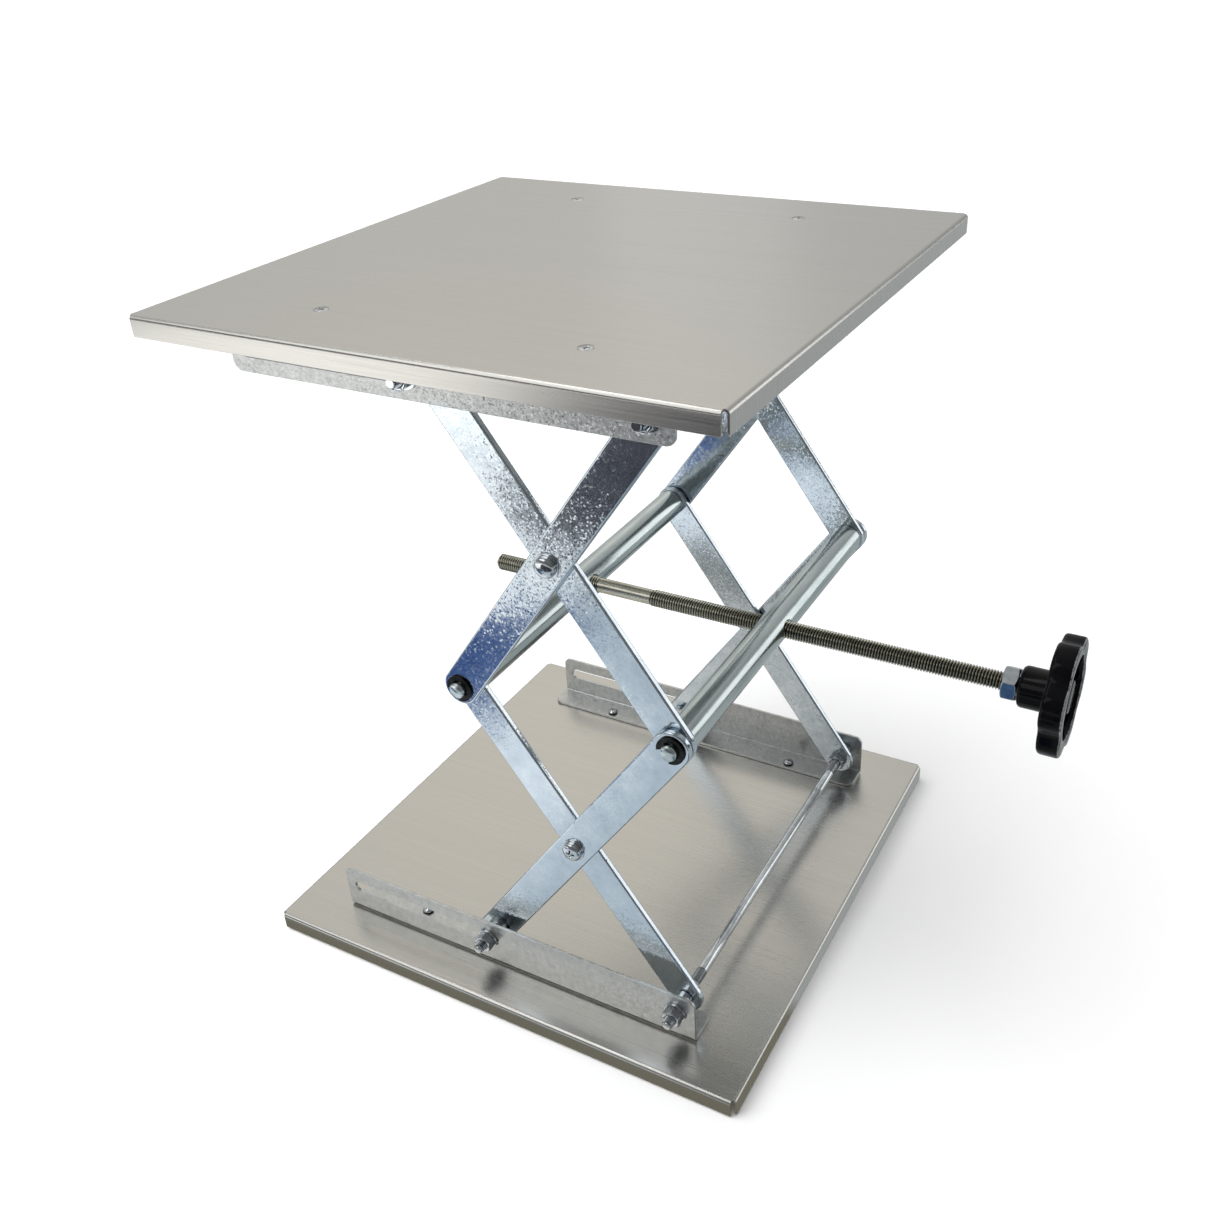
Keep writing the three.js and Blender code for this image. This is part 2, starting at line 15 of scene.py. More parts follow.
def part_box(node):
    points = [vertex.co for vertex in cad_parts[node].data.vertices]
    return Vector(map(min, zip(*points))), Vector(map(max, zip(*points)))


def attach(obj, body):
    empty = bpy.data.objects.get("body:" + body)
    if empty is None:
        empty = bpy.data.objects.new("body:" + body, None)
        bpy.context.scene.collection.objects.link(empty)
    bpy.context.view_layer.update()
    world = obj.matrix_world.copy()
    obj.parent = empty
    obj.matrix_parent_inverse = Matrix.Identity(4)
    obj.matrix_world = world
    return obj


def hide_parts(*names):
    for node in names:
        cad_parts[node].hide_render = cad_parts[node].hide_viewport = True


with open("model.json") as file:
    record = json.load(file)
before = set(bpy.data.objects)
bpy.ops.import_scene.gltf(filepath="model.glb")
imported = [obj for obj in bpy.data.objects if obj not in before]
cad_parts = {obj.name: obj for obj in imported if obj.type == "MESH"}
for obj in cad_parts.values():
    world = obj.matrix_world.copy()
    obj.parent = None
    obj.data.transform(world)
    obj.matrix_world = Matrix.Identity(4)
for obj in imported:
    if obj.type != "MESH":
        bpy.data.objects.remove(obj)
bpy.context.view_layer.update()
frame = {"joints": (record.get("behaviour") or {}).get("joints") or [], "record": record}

MM = 0.001

# ---- What the frame says

RECORD = frame["record"]
BODY_OF = {node: body for body, nodes in RECORD["behaviour"]["bodies"].items() for node in nodes}
SLOT_OF = {part["node"]: part["material_slot"] for part in RECORD["subparts"]}
JOINTS = {joint["name"]: joint for joint in frame["joints"]}
SIDES = (("near", -1), ("far", 1))


def box_mm(node):
    low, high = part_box(node)
    return low / MM, high / MM


def pivot(joint):
    x, _, z = JOINTS[joint]["pos_m"]
    return Vector((x, 0, z)) / MM


def across(node):
    """How far from the middle plane a node starts and ends, along Y."""
    low, high = box_mm(node)
    return sorted((abs(low.y), abs(high.y)))


FIXED = pivot("lift")
LEFT = pivot("left_bar_pivot")
RIGHT = pivot("right_bar_pivot")
UPPER_FIXED = pivot("upper_fixed_pivot")
SLIDER = Vector((LEFT.x, 0, FIXED.z))
UPPER_SLIDER = Vector((LEFT.x, 0, UPPER_FIXED.z))
LOWER_CROSS = (LEFT + FIXED) / 2
UPPER_CROSS = (LEFT + UPPER_FIXED) / 2
PLATE_LOW, PLATE_HIGH = box_mm("base_plate")
MIDDLE_X = (PLATE_LOW.x + PLATE_HIGH.x) / 2

# ---- Driving dimensions

# Sheet metal
PLATE_THICKNESS = 1
PLATE_FOLD = 1.8
CORNER_GAP = 2
RAIL_THICKNESS = 1.5
RAIL_FOLD = 2.2
RAIL_CORNER = 4
SLOT_WIDTH = 6.2
SLOT_START = -91.5
SLOT_END = -6
SHEET_CORNER = 0.6
SHEET_EDGE = 0.22
RAIL_EDGE = 0.3
FOLD_STEPS = 8

# Arms
ARM_WIDTH = 16
ARM_EDGE = 0.8

# Cross bars and clips
BAR_CHAMFER = 0.6
# How far the mouth of a cross bar's hole starts and ends under the bar's face, and how far it widens
BAR_MOUTH = (1.7, 0.9, 0.8)
PIN_RADIUS = 3.5
GROOVE_RADIUS = 2.7
ARM_WASHER_RADIUS = 6.6
CLIP_RADIUS = 6.1
CLIP_MOUTH = math.radians(72)
CLIP_TILT = math.radians(45)
CLIP_POCKET = 1.3
CLIP_EDGE = 0.12

# Lead screw
SCREW_RADIUS = 3.95
SCREW_PITCH = 1.25
SHANK_RADIUS = 3.55
SHANK_SPAN = (-2, 26.5)
SCREW_TIP = 0.4
LOCK_NUT_FLATS = 13
LOCK_NUT_EDGE = 0.2

# Handwheel
WHEEL_RADIUS = 25
WHEEL_LOBES = 6
FIRST_LOBE = math.radians(45)
LOBE_DEPTH = 3
DISH_RADIUS = 17.5
DISH_DEPTH = 6
BOSS_RADIUS = 7
HUB_RADIUS = 8.7
WHEEL_WIDTH = 9
WHEEL_BORE_GAP = 0.1
RIBS = 6
RIB_HALF_WIDTH = 1.5
RIB_SLOPE = 0.5
# How far under its outer face the wheel's lighter edge starts and ends: partly rubbed wear, partly a painted
# highlight
WEAR_AND_HIGHLIGHT_SPAN = (0.3, 0.1)

# Fasteners
BOLT_RADIUS = 2.5
BOLT_PITCH = 0.8
BOLT_TIP = 0.3
BOLT_HEAD_LENGTH = 3.4
BOLT_HEAD_BORE = 1.2
BOLT_PLAIN_LENGTH = 9
NUT_FLATS = 8
NUT_LENGTH = 4
NUT_EDGE = 0.15
WASHER_RADIUS = 5.2
WASHER_THICKNESS = 0.8
WASHER_EDGE = 0.15
WASHER_GAP = 0.02
PLAIN_WASHER = 0.5
SPRING_WASHER = 0.8
SPRING_WASHER_RADIUS = 4.6
SPACER_RADIUS = 4
SPACER_EDGE = 0.4
SLIDER_SPACER_RADIUS = 4.8
PIVOT_HEAD_RADIUS = 4.4
PIVOT_SHANK_RADIUS = 2.4
SMALL_SCREW_RADIUS = 1.5
SMALL_NUT_FLATS = 5.5
SMALL_NUT_LENGTH = 2.4
SMALL_NUT_EDGE = 0.1
COUNTERSINK_RADIUS = 3.2
# Radius and depth of the cross in each kind of screw head
PIVOT_RECESS = (2.728, 1.5)
ROUND_RECESS = (1.75, 1.1)
FLAT_RECESS = (2.1, 1.1)
TIE_ROD_PLAIN = 2.45
TIE_ROD_WAIST = 2.2
TIE_ROD_SHOULDERS = (57, 78)

# How deep a thread is cut, as a share of its pitch
THREAD_DEPTH = 0.6

# Clearances: round a bolt or pin, round a plate screw or behind an arm, between faces that touch,
# and behind the nuts on a tie rod and on a rail
BORE_GAP = 0.15
FIT_GAP = 0.3
SEAT_GAP = 0.05
INNER_NUT_GAP = 0.2
RAIL_NUT_GAP = 0.25
BOLT_HOLE = BOLT_RADIUS + BORE_GAP
PLATE_SCREW_HOLE = SMALL_SCREW_RADIUS + FIT_GAP

# The length over which a rod goes from one radius to the next
STEP = 0.1

# Edges sharper than the first angle stay crisp on pieces without a rounded edge. On the others
# those sharper than the second are rounded.
SHARP_ANGLE = math.radians(38)
ROUNDED_ANGLE = math.radians(50)

# ---- Camera, floor and light

CAMERA_PLACE = Vector((0.2245, -0.4285, 0.4520))
CAMERA_AIM = Vector((-0.0320, 0.0225, 0.1500))
CAMERA_ROLL = math.radians(2.67)
CAMERA_LENS = 36.75
CAMERA_SHIFT = (-0.0374, -0.0135)

# Which way the room is bright, and its colour against the cosine of the angle from there
BRIGHT_SIDE = (-0.50, 0.66, 0.62)
ROOM = (
    (-0.9, (0.09, 0.09, 0.09)),
    (-0.1, (0.19, 0.19, 0.19)),
    (0.5, (0.32, 0.33, 0.33)),
    (0.8, (0.52, 0.53, 0.53)),
    (0.92, (0.64, 0.64, 0.63)),
    (1.0, (0.92, 0.89, 0.82)),
)
# Name, place, size and brightness
LIGHTS = (
    ("key", (-0.75, -0.95, 1.25), (1.1, 1.1), 1.2),
    ("bar", (-0.62, -0.15, 1.55), (0.7, 0.25), 3.5),
    ("window", (-0.85, 1.70, 0.70), (0.35, 1.2), 0.10),
    ("strip", (1.65, 1.60, 0.55), (1.5, 1.1), 1.1),
)
LIGHT_AIM = Vector((0, 0, 0.15))
# Strength, angular size and direction of the light that doesn't show in the metal
SUN = 3.0
SUN_SPREAD = math.radians(70)
SUN_DIRECTION = Vector((0.35, 0.25, -1))
FLOOR_REACH = 6
FLOOR_Z = -0.001
# How high each board lies over the one before it, and half the width of its soft edge
BOARD_STEP = 0.0001
BOARD_FADE = 0.03


def rectangle(x0, y0, x1, y1):
    return (x0, y0), (x1, y0), (x1, y1), (x0, y1)


# Name, corners and colour
FLOOR_BOARDS = (
    ("board_grey", rectangle(-3, -3, 3, 3), (0.44, 0.47, 0.48)),
    ("board_pale", rectangle(-0.22, -0.42, 0.05, -0.10), (0.60, 0.67, 0.72)),
    ("board_light", ((-0.40, -0.38), (-0.085, -0.28), (-0.085, -0.05), (-0.40, -0.05)), (0.95, 1.00, 1.04)),
    ("board_white", ((-1.1, -1.4), (-0.215, -1.4), (-0.215, -0.36), (-1.1, -0.36)), (1.25, 1.25, 1.23)),
    ("board_bright", ((-1.0, -1.4), (-0.52, -1.4), (-0.42, -0.62), (-1.0, -0.62)), (1.70, 1.70, 1.66)),
    ("board_dark", ((-0.72, -1.4), (0.60, -1.4), (0.60, -0.47), (-0.32, -0.47)), (0.05, 0.05, 0.065)),
    ("board_blue", rectangle(-0.42, -0.375, -0.18, -0.25), (0.03, 0.085, 0.26)),
    ("board_shade", rectangle(-0.24, -0.136, 0.14, -0.06), (0.23, 0.22, 0.18)),
    ("board_navy", rectangle(0.04, -0.32, 0.17, -0.18), (0.05, 0.10, 0.20)),
)


def added(name, data):
    """A new object in the scene."""
    item = bpy.data.objects.new(name, data)
    bpy.context.scene.collection.objects.link(item)
    return item


def add_camera():
    data = bpy.data.cameras.new("camera")
    data.lens = CAMERA_LENS
    data.shift_x, data.shift_y = CAMERA_SHIFT
    data.clip_start = 0.01
    data.clip_end = 100
    camera = added("camera", data)
    turn = (CAMERA_AIM - CAMERA_PLACE).to_track_quat("-Z", "Y").to_matrix().to_4x4()
    camera.matrix_world = Matrix.Translation(CAMERA_PLACE) @ turn @ Matrix.Rotation(-CAMERA_ROLL, 4, "Z")
    bpy.context.scene.camera = camera


def flat_sheet(name, points, faces, z, material):
    mesh = bpy.data.meshes.new(name)
    mesh.from_pydata([(x, y, z) for x, y in points], [], faces)
    mesh.materials.append(material)
    item = added(name, mesh)
    return item


def add_floor():
    material, _, shader = new_material("floor_white")
    shader.inputs["Base Color"].default_value = (0.93, 0.93, 0.93, 1)
    shader.inputs["Roughness"].default_value = 0.8
    corners = rectangle(-FLOOR_REACH, -FLOOR_REACH, FLOOR_REACH, FLOOR_REACH)
    flat_sheet("floor", corners, [(0, 1, 2, 3)], FLOOR_Z, material)


def add_board(name, corners, colour, z):
    """A board lying on the floor that only shows in the metal, like a studio's reflector or flag."""
    material = bpy.data.materials.new(name)
    material.use_nodes = True
    tree = material.node_tree
    tree.nodes.remove(tree.nodes["Principled BSDF"])
    glow = tree.nodes.new("ShaderNodeEmission")
    glow.inputs["Color"].default_value = (*colour, 1)
    nothing = tree.nodes.new("ShaderNodeBsdfTransparent")
    faded = tree.nodes.new("ShaderNodeMixShader")
    tree.links.new(mark_on(tree, "cover"), faded.inputs["Fac"])
    tree.links.new(nothing.outputs[0], faded.inputs[1])
    tree.links.new(glow.outputs[0], faded.inputs[2])
    tree.links.new(faded.outputs[0], tree.nodes["Material Output"].inputs["Surface"])
    middle = sum((Vector(corner) for corner in corners), Vector((0, 0))) / len(corners)
    points = []
    for shift in (BOARD_FADE, -BOARD_FADE):
        for corner in corners:
            away = Vector(corner) - middle
            points.append(Vector(corner) + away.normalized() * shift)
    faces = [(4, 5, 6, 7)] + [(i, (i + 1) % 4, 4 + (i + 1) % 4, 4 + i) for i in range(4)]
    board = flat_sheet(name, points, faces, z, material)
    covers = board.data.attributes.new("cover", "FLOAT", "POINT")
    covers.data.foreach_set("value", [0.0] * 4 + [1.0] * 4)
    board.visible_camera = False
    board.visible_diffuse = False
    board.visible_transmission = False
    board.visible_shadow = False


def add_boards():
    for count, board in enumerate(FLOOR_BOARDS, 1):
        add_board(*board, FLOOR_Z + BOARD_STEP * count)


def add_light(name, place, size, brightness):
    data = bpy.data.lights.new(name, "AREA")
    data.shape = "RECTANGLE"
    data.size, data.size_y = size
    data.energy = brightness * math.pi * size[0] * size[1]
    light = added(name, data)
    light.location = place
    light.rotation_euler = (LIGHT_AIM - Vector(place)).to_track_quat("-Z", "Y").to_euler()


def add_sun():
    data = bpy.data.lights.new("sun", "SUN")
    data.energy = SUN
    data.angle = SUN_SPREAD
    light = added("sun", data)
    light.rotation_euler = SUN_DIRECTION.to_track_quat("-Z", "Y").to_euler()
    light.visible_glossy = False


def add_studio():
    """White to the camera. In the metal the room is bright behind the jack on the left, dim elsewhere."""
    world = bpy.data.worlds.new("studio")
    bpy.context.scene.world = world
    world.use_nodes = True
    tree = world.node_tree
    place = tree.nodes.new("ShaderNodeTexCoord")
    bright_side = tuple(Vector(BRIGHT_SIDE).normalized())
    towards = vector_math(tree, "DOT_PRODUCT", place.outputs["Generated"], bright_side)
    ramp = tree.nodes.new("ShaderNodeValToRGB")
    points = ramp.color_ramp.elements
    points.remove(points[1])
    points[0].position = (ROOM[0][0] + 1) / 2
    points[0].color = (*ROOM[0][1], 1)
    for towards_bright, colour in ROOM[1:]:
        points.new((towards_bright + 1) / 2).color = (*colour, 1)
    tree.links.new(ranged(tree, towards, 0, 1, -1, 1), ramp.inputs["Fac"])
    path = tree.nodes.new("ShaderNodeLightPath")
    seen = blended(tree, path.outputs["Is Camera Ray"], ramp.outputs["Color"], (1.0, 1.0, 1.0))
    tree.links.new(seen, tree.nodes["Background"].inputs["Color"])
    for light in LIGHTS:
        add_light(*light)
    add_sun()
    bpy.context.scene.view_settings.view_transform = "Standard"


# ---- Materials

# Painted shade at the bottom of a thread and in a cross-head screw's recess
PAINTED_SHADE_COLOUR = (0.03, 0.03, 0.025)
# How far apart two pieces' grain may lie in the noise
PIECE_SHIFT = 40
FLAKES_PER_METRE = 1500
# For each slot: name, dark and light colour, cloud grain, range of roughness, fine grain, strength
# and depth in mm of its bumps, and how far flakes tilt on the metals that have them
METALS = {
    "plate_steel": ("brushed_stainless", (0.58, 0.567, 0.537), (0.60, 0.587, 0.557),
                    ((5, 260, 1), 4, 0.6, "UV"), (0.22, 0.29),
                    ((14, 1600, 1), 3, 0.6, "UV"), (0.08, 0.008)),
    "rail_steel": ("galvanised", (0.49, 0.50, 0.495), (0.66, 0.67, 0.66), ((420, 420, 420), 4, 0.65),
                   (0.26, 0.42), ((1300, 1300, 1300), 3, 0.7), (0.3, 0.02), 0.9),
    "arm_zinc": ("bright_zinc", (0.54, 0.61, 0.67), (0.74, 0.80, 0.845), ((90, 90, 90), 6, 0.62),
                 (0.07, 0.18), ((2200, 2200, 2200), 2, 0.6), (0.12, 0.02), 0.38),
    "bar_zinc": ("turned_zinc", (0.46, 0.52, 0.52), (0.62, 0.68, 0.68), ((160, 160, 30), 4, 0.6),
                 (0.14, 0.26), ((900, 900, 120), 3, 0.6), (0.2, 0.01)),
    "screw_steel": ("screw_steel", (0.42, 0.41, 0.34), (0.60, 0.59, 0.51), ((300, 300, 90), 4, 0.6),
                    (0.16, 0.30), ((1500, 1500, 1500), 3, 0.6), (0.2, 0.01)),
    "fastener_zinc": ("fastener_zinc", (0.52, 0.55, 0.57), (0.74, 0.77, 0.79), ((300, 300, 300), 4, 0.6),
                      (0.05, 0.15), ((1800, 1800, 1800), 3, 0.6), (0.15, 0.01)),
    "clip_black": ("clip_steel", (0.012, 0.012, 0.012), (0.05, 0.048, 0.046), ((400, 400, 400), 4, 0.6),
                   (0.25, 0.42), ((1800, 1800, 1800), 3, 0.6), (0.2, 0.01)),
}


def new_material(name):
    material = bpy.data.materials.new(name)
    material.use_nodes = True
    tree = material.node_tree
    return material, tree, tree.nodes["Principled BSDF"]


def grain(tree, per_metre, detail=3, roughness=0.5, layout="Object"):
    """Noise in the piece's own coordinates, or in its flat pattern with the layout "UV", with its
    own shift on each piece."""
    place = tree.nodes.new("ShaderNodeTexCoord")
    scale = tree.nodes.new("ShaderNodeMapping")
    scale.inputs["Scale"].default_value = per_metre
    info = tree.nodes.new("ShaderNodeObjectInfo")
    noise = tree.nodes.new("ShaderNodeTexNoise")
    noise.noise_dimensions = "4D"
    noise.inputs["Scale"].default_value = 1
    noise.inputs["Detail"].default_value = detail
    noise.inputs["Roughness"].default_value = roughness
    tree.links.new(place.outputs[layout], scale.inputs["Vector"])
    tree.links.new(scale.outputs["Vector"], noise.inputs["Vector"])
    tree.links.new(product(tree, info.outputs["Random"], PIECE_SHIFT), noise.inputs["W"])
    return noise.outputs["Fac"]


def ranged(tree, value, low, high, start=0.3, end=0.7):
    """The value stretched so that start..end becomes low..high."""
    node = tree.nodes.new("ShaderNodeMapRange")
    node.inputs["From Min"].default_value = start
    node.inputs["From Max"].default_value = end
    node.inputs["To Min"].default_value = low
    node.inputs["To Max"].default_value = high
    tree.links.new(value, node.inputs["Value"])
    return node.outputs["Result"]


def feed(tree, socket, value):
    """Fills a socket with another node's output, or with a fixed number, vector or colour."""
    if isinstance(value, bpy.types.NodeSocket):
        tree.links.new(value, socket)
    else:
        socket.default_value = (*value, 1) if socket.type == "RGBA" else value


def blended(tree, factor, first, second):
    """Two colours mixed by a factor."""
    node = tree.nodes.new("ShaderNodeMix")
    node.data_type = "RGBA"
    feed(tree, node.inputs["Factor"], factor)
    feed(tree, node.inputs[6], first)
    feed(tree, node.inputs[7], second)
    return node.outputs[2]


def vector_math(tree, operation, first, second=(0, 0, 0)):
    node = tree.nodes.new("ShaderNodeVectorMath")
    node.operation = operation
    feed(tree, node.inputs[0], first)
    feed(tree, node.inputs[1], second)
    return node.outputs["Value" if operation == "DOT_PRODUCT" else "Vector"]


def product(tree, first, second):
    node = tree.nodes.new("ShaderNodeMath")
    node.operation = "MULTIPLY"
    feed(tree, node.inputs[0], first)
    feed(tree, node.inputs[1], second)
    return node.outputs[0]


def mark_on(tree, name):
    """How strong a named mark is at each point of a mesh."""
    node = tree.nodes.new("ShaderNodeAttribute")
    node.attribute_name = name
    return node.outputs["Fac"]


def bumped(tree, shader, height, strength, distance_mm):
    """Adds a bump to the shader on top of the bumps that it already has."""
    node = tree.nodes.new("ShaderNodeBump")
    node.inputs["Strength"].default_value = strength
    node.inputs["Distance"].default_value = distance_mm * MM
    tree.links.new(height, node.inputs["Height"])
    under = shader.inputs["Normal"].links
    if under:
        tree.links.new(under[0].from_socket, node.inputs["Normal"])
    tree.links.new(node.outputs["Normal"], shader.inputs["Normal"])


def flaked(tree, shader, tilt):
    """Tilts the surface by a different amount on each flake: most lie nearly flat, a few do not."""
    place = tree.nodes.new("ShaderNodeTexCoord")
    flakes = tree.nodes.new("ShaderNodeTexVoronoi")
    flakes.inputs["Scale"].default_value = FLAKES_PER_METRE
    surface = tree.nodes.new("ShaderNodeNewGeometry")
    tree.links.new(place.outputs["Object"], flakes.inputs["Vector"])
    middle = vector_math(tree, "SUBTRACT", flakes.outputs["Color"], (0.5, 0.5, 0.5))
    cubed = vector_math(tree, "MULTIPLY", vector_math(tree, "MULTIPLY", middle, middle), middle)
    scaled = vector_math(tree, "MULTIPLY", cubed, (tilt, tilt, tilt))
    tilted = vector_math(tree, "ADD", scaled, surface.outputs["Normal"])
    tree.links.new(vector_math(tree, "NORMALIZE", tilted), shader.inputs["Normal"])


def metal(name, dark, light, cloud, rough, fine, bump, tilt=0):
    """A metal whose colour varies with the cloud grain, and its roughness and height with the fine
    grain. Painted shade darkens it where a mesh marks a thread's roots or a screw's recess."""
    material, tree, shader = new_material(name)
    shader.inputs["Metallic"].default_value = 1
    tone = ranged(tree, grain(tree, *cloud), 0, 1)
    # Painted shade: points marked in a thread's roots or in a screw head's recess turn dark.
    shade = ranged(tree, mark_on(tree, "painted_shade"), 0, 1, 0.4, 1)
    colour = blended(tree, shade, blended(tree, tone, dark, light), PAINTED_SHADE_COLOUR)
    tree.links.new(colour, shader.inputs["Base Color"])
    tree.links.new(ranged(tree, grain(tree, *fine), *rough), shader.inputs["Roughness"])
    if tilt:
        flaked(tree, shader, tilt)
    bumped(tree, shader, grain(tree, *fine), *bump)
    return material


def brush(material):
    """Stretches the highlights across brush lines, which run along X on a plate's face and on its near
    and far folds, and up and down on its other two folds."""
    tree = material.node_tree
    shader = tree.nodes["Principled BSDF"]
    shader.inputs["Anisotropic"].default_value = 0.5
    surface = tree.nodes.new("ShaderNodeNewGeometry")
    along = vector_math(tree, "CROSS_PRODUCT", surface.outputs["Normal"], (0, 1, 0))
    # The shift gives the near and far folds a direction, where the product is zero.
    tree.links.new(vector_math(tree, "ADD", along, (-0.05, 0, 0)), shader.inputs["Tangent"])


def scratch(material):
    """Adds fine lines along the piece's X axis."""
    tree = material.node_tree
    bumped(tree, tree.nodes["Principled BSDF"], grain(tree, (50, 2400, 2400), 2, 0.6), 0.12, 0.01)


def knob_plastic():
    """Black plastic, grey in patches along its marked edge, which is partly rubbed wear and partly a painted
    highlight.
    """
    material, tree, shader = new_material("knob_plastic")
    wear = ranged(tree, grain(tree, (120, 120, 120), 5, 0.6), 0, 1, 0.4, 0.75)
    plain = blended(tree, wear, (0.0015, 0.0015, 0.002), (0.004, 0.004, 0.005))
    patches = ranged(tree, grain(tree, (500, 500, 500), 4, 0.7), 0, 1, 0.35, 0.60)
    # Painted highlight and wear: grey patches along the wheel's marked outer edge.
    wear_and_highlight = product(tree, mark_on(tree, "wear_and_highlight"), patches)
    colour = blended(tree, wear_and_highlight, plain, (0.42, 0.42, 0.43))
    tree.links.new(colour, shader.inputs["Base Color"])
    tree.links.new(ranged(tree, grain(tree, (500, 500, 500)), 0.08, 0.16), shader.inputs["Roughness"])
    shader.inputs["Specular IOR Level"].default_value = 0.12
    bumped(tree, shader, grain(tree, (260, 260, 260)), 0.08, 0.04)
    return material


MATERIALS = {slot: metal(*looks) for slot, looks in METALS.items()}
MATERIALS["knob_black"] = knob_plastic()
brush(MATERIALS["plate_steel"])
scratch(MATERIALS["arm_zinc"])

# ---- Shapes: every shape is a list of points and a list of faces

def around(sides):
    return [2 * math.pi * i / sides for i in range(sides)]


def polar(radius, angle, height):
    return radius * math.cos(angle), radius * math.sin(angle), height


def ring(radius, height, sides):
    return [polar(radius, angle, height) for angle in around(sides)]


def skin(rows, closed=False):
    """Faces between rows of points. A row is a loop, or one tip point; closed joins last to first."""
    points, loops, faces = [], [], []
    for row in rows:
        loops.append(range(len(points), len(points) + len(row)))
        points.extend(row)
    pairs = list(zip(loops, loops[1:]))
    if closed:
        pairs.append((loops[-1], loops[0]))
    for low, high in pairs:
        count = max(len(low), len(high))
        for i in range(count):
            below = [low[k % len(low)] for k in (i, i + 1)]
            above = [high[k % len(high)] for k in (i + 1, i)]
            face = list(dict.fromkeys(below + above))
            if len(face) > 2:
                faces.append(face)
    return points, faces


def turned(profile, sides=48):
    """A solid of revolution about Z from (radius, height) points, closed on the axis or on itself."""
    ringed = profile[0] == profile[-1]
    rows = profile[:-1] if ringed else profile
    return skin([ring(r, h, sides) if r > 0 else [(0, 0, h)] for r, h in rows], closed=ringed)


def rounded(corners, steps=4, closed=True):
    """A polyline whose (x, y, radius) corners are turned into arcs. A corner (x, y) stays sharp."""
    flat = [Vector(corner[:2]) for corner in corners]
    path = []
    for i, corner in enumerate(corners):
        between = closed or 0 < i < len(corners) - 1
        if len(corner) < 3 or not between:
            path.append(tuple(flat[i]))
            continue
        before = (flat[i - 1] - flat[i]).normalized()
        after = (flat[(i + 1) % len(flat)] - flat[i]).normalized()
        half = math.acos(max(-1, min(1, before.dot(after)))) / 2
        centre = flat[i] + (before + after).normalized() * corner[2] / math.sin(half)
        start = flat[i] + before * corner[2] / math.tan(half) - centre
        end = flat[i] + after * corner[2] / math.tan(half) - centre
        sweep = math.pi - 2 * half
        for k in range(steps + 1):
            t = k / steps
            arm = start * math.sin((1 - t) * sweep) + end * math.sin(t * sweep)
            path.append(tuple(centre + arm / math.sin(sweep)))
    return path


def arc(x, y, radius, start, end, steps):
    angles = [start + (end - start) * k / steps for k in range(steps + 1)]
    return [(x + radius * math.cos(angle), y + radius * math.sin(angle)) for angle in angles]


def circle(x, y, radius, steps=32):
    return arc(x, y, radius, 0, 2 * math.pi, steps)[:-1]


def slot_outline(start, end, y, width, steps=12):
    r = width / 2
    half = math.pi / 2
    return arc(end - r, y, r, -half, half, steps) + arc(start + r, y, r, half, 3 * half, steps)


def inside(point, outline):
    """Whether a point lies inside a closed outline, counting the sides to its right."""
    x, y = point
    found = False
    for (x0, y0), (x1, y1) in zip(outline, outline[1:] + outline[:1]):
        if (y0 > y) != (y1 > y) and x < (x1 - x0) * (y - y0) / (y1 - y0) + x0:
            found = not found
    return found


def sheet(outline, holes, seams, thickness, form):
    """A closed sheet cut to a flat outline with holes. form(u, v, depth) places a point of the flat
    pattern; seams are lines that the triangles follow, so that the sheet can bend there."""
    flat, edges = [], []
    for loop in [outline] + holes:
        first = len(flat)
        flat.extend(loop)
        edges.extend((first + i, first + (i + 1) % len(loop)) for i in range(len(loop)))
    for seam in seams:
        edges.append((len(flat), len(flat) + 1))
        flat.extend(seam)
    cells, _, triangles, _, _, _ = delaunay_2d_cdt([Vector(p) for p in flat], edges, [], 0, 1e-5)
    kept = []
    for a, b, c in triangles:
        centre = (cells[a] + cells[b] + cells[c]) / 3
        if inside(centre, outline) and not any(inside(centre, hole) for hole in holes):
            kept.append((a, b, c))
    count = len(cells)
    points = [form(p.x, p.y, depth) for depth in (0, thickness) for p in cells]
    faces = kept + [(c + count, b + count, a + count) for a, b, c in kept]
    used = {(t[i], t[(i + 1) % 3]) for t in kept for i in range(3)}
    faces += [(b, a, a + count, b + count) for a, b in used if (b, a) not in used]
    pattern = [tuple(p) for p in cells] * 2
    return points, faces, pattern


def thread_rows(radius, start, end, pitch, hand, sides):
    """Rows along a helix, four to each pitch, held between the thread's ends."""
    root = radius - THREAD_DEPTH * pitch
    levels = ((0, radius), (0.14, radius), (0.5, root), (0.64, root))
    rows = []
    for turn in range(-2, math.ceil((end - start) / pitch) + 3):
        for phase, level in levels:
            row = []
            for i in range(sides):
                height = start + pitch * (turn + phase + hand * i / sides)
                r = level if start < height < end else root
                angle = 2 * math.pi * i / sides
                row.append(polar(r, angle, min(max(height, start), end)))
            rows.append(row)
    return rows


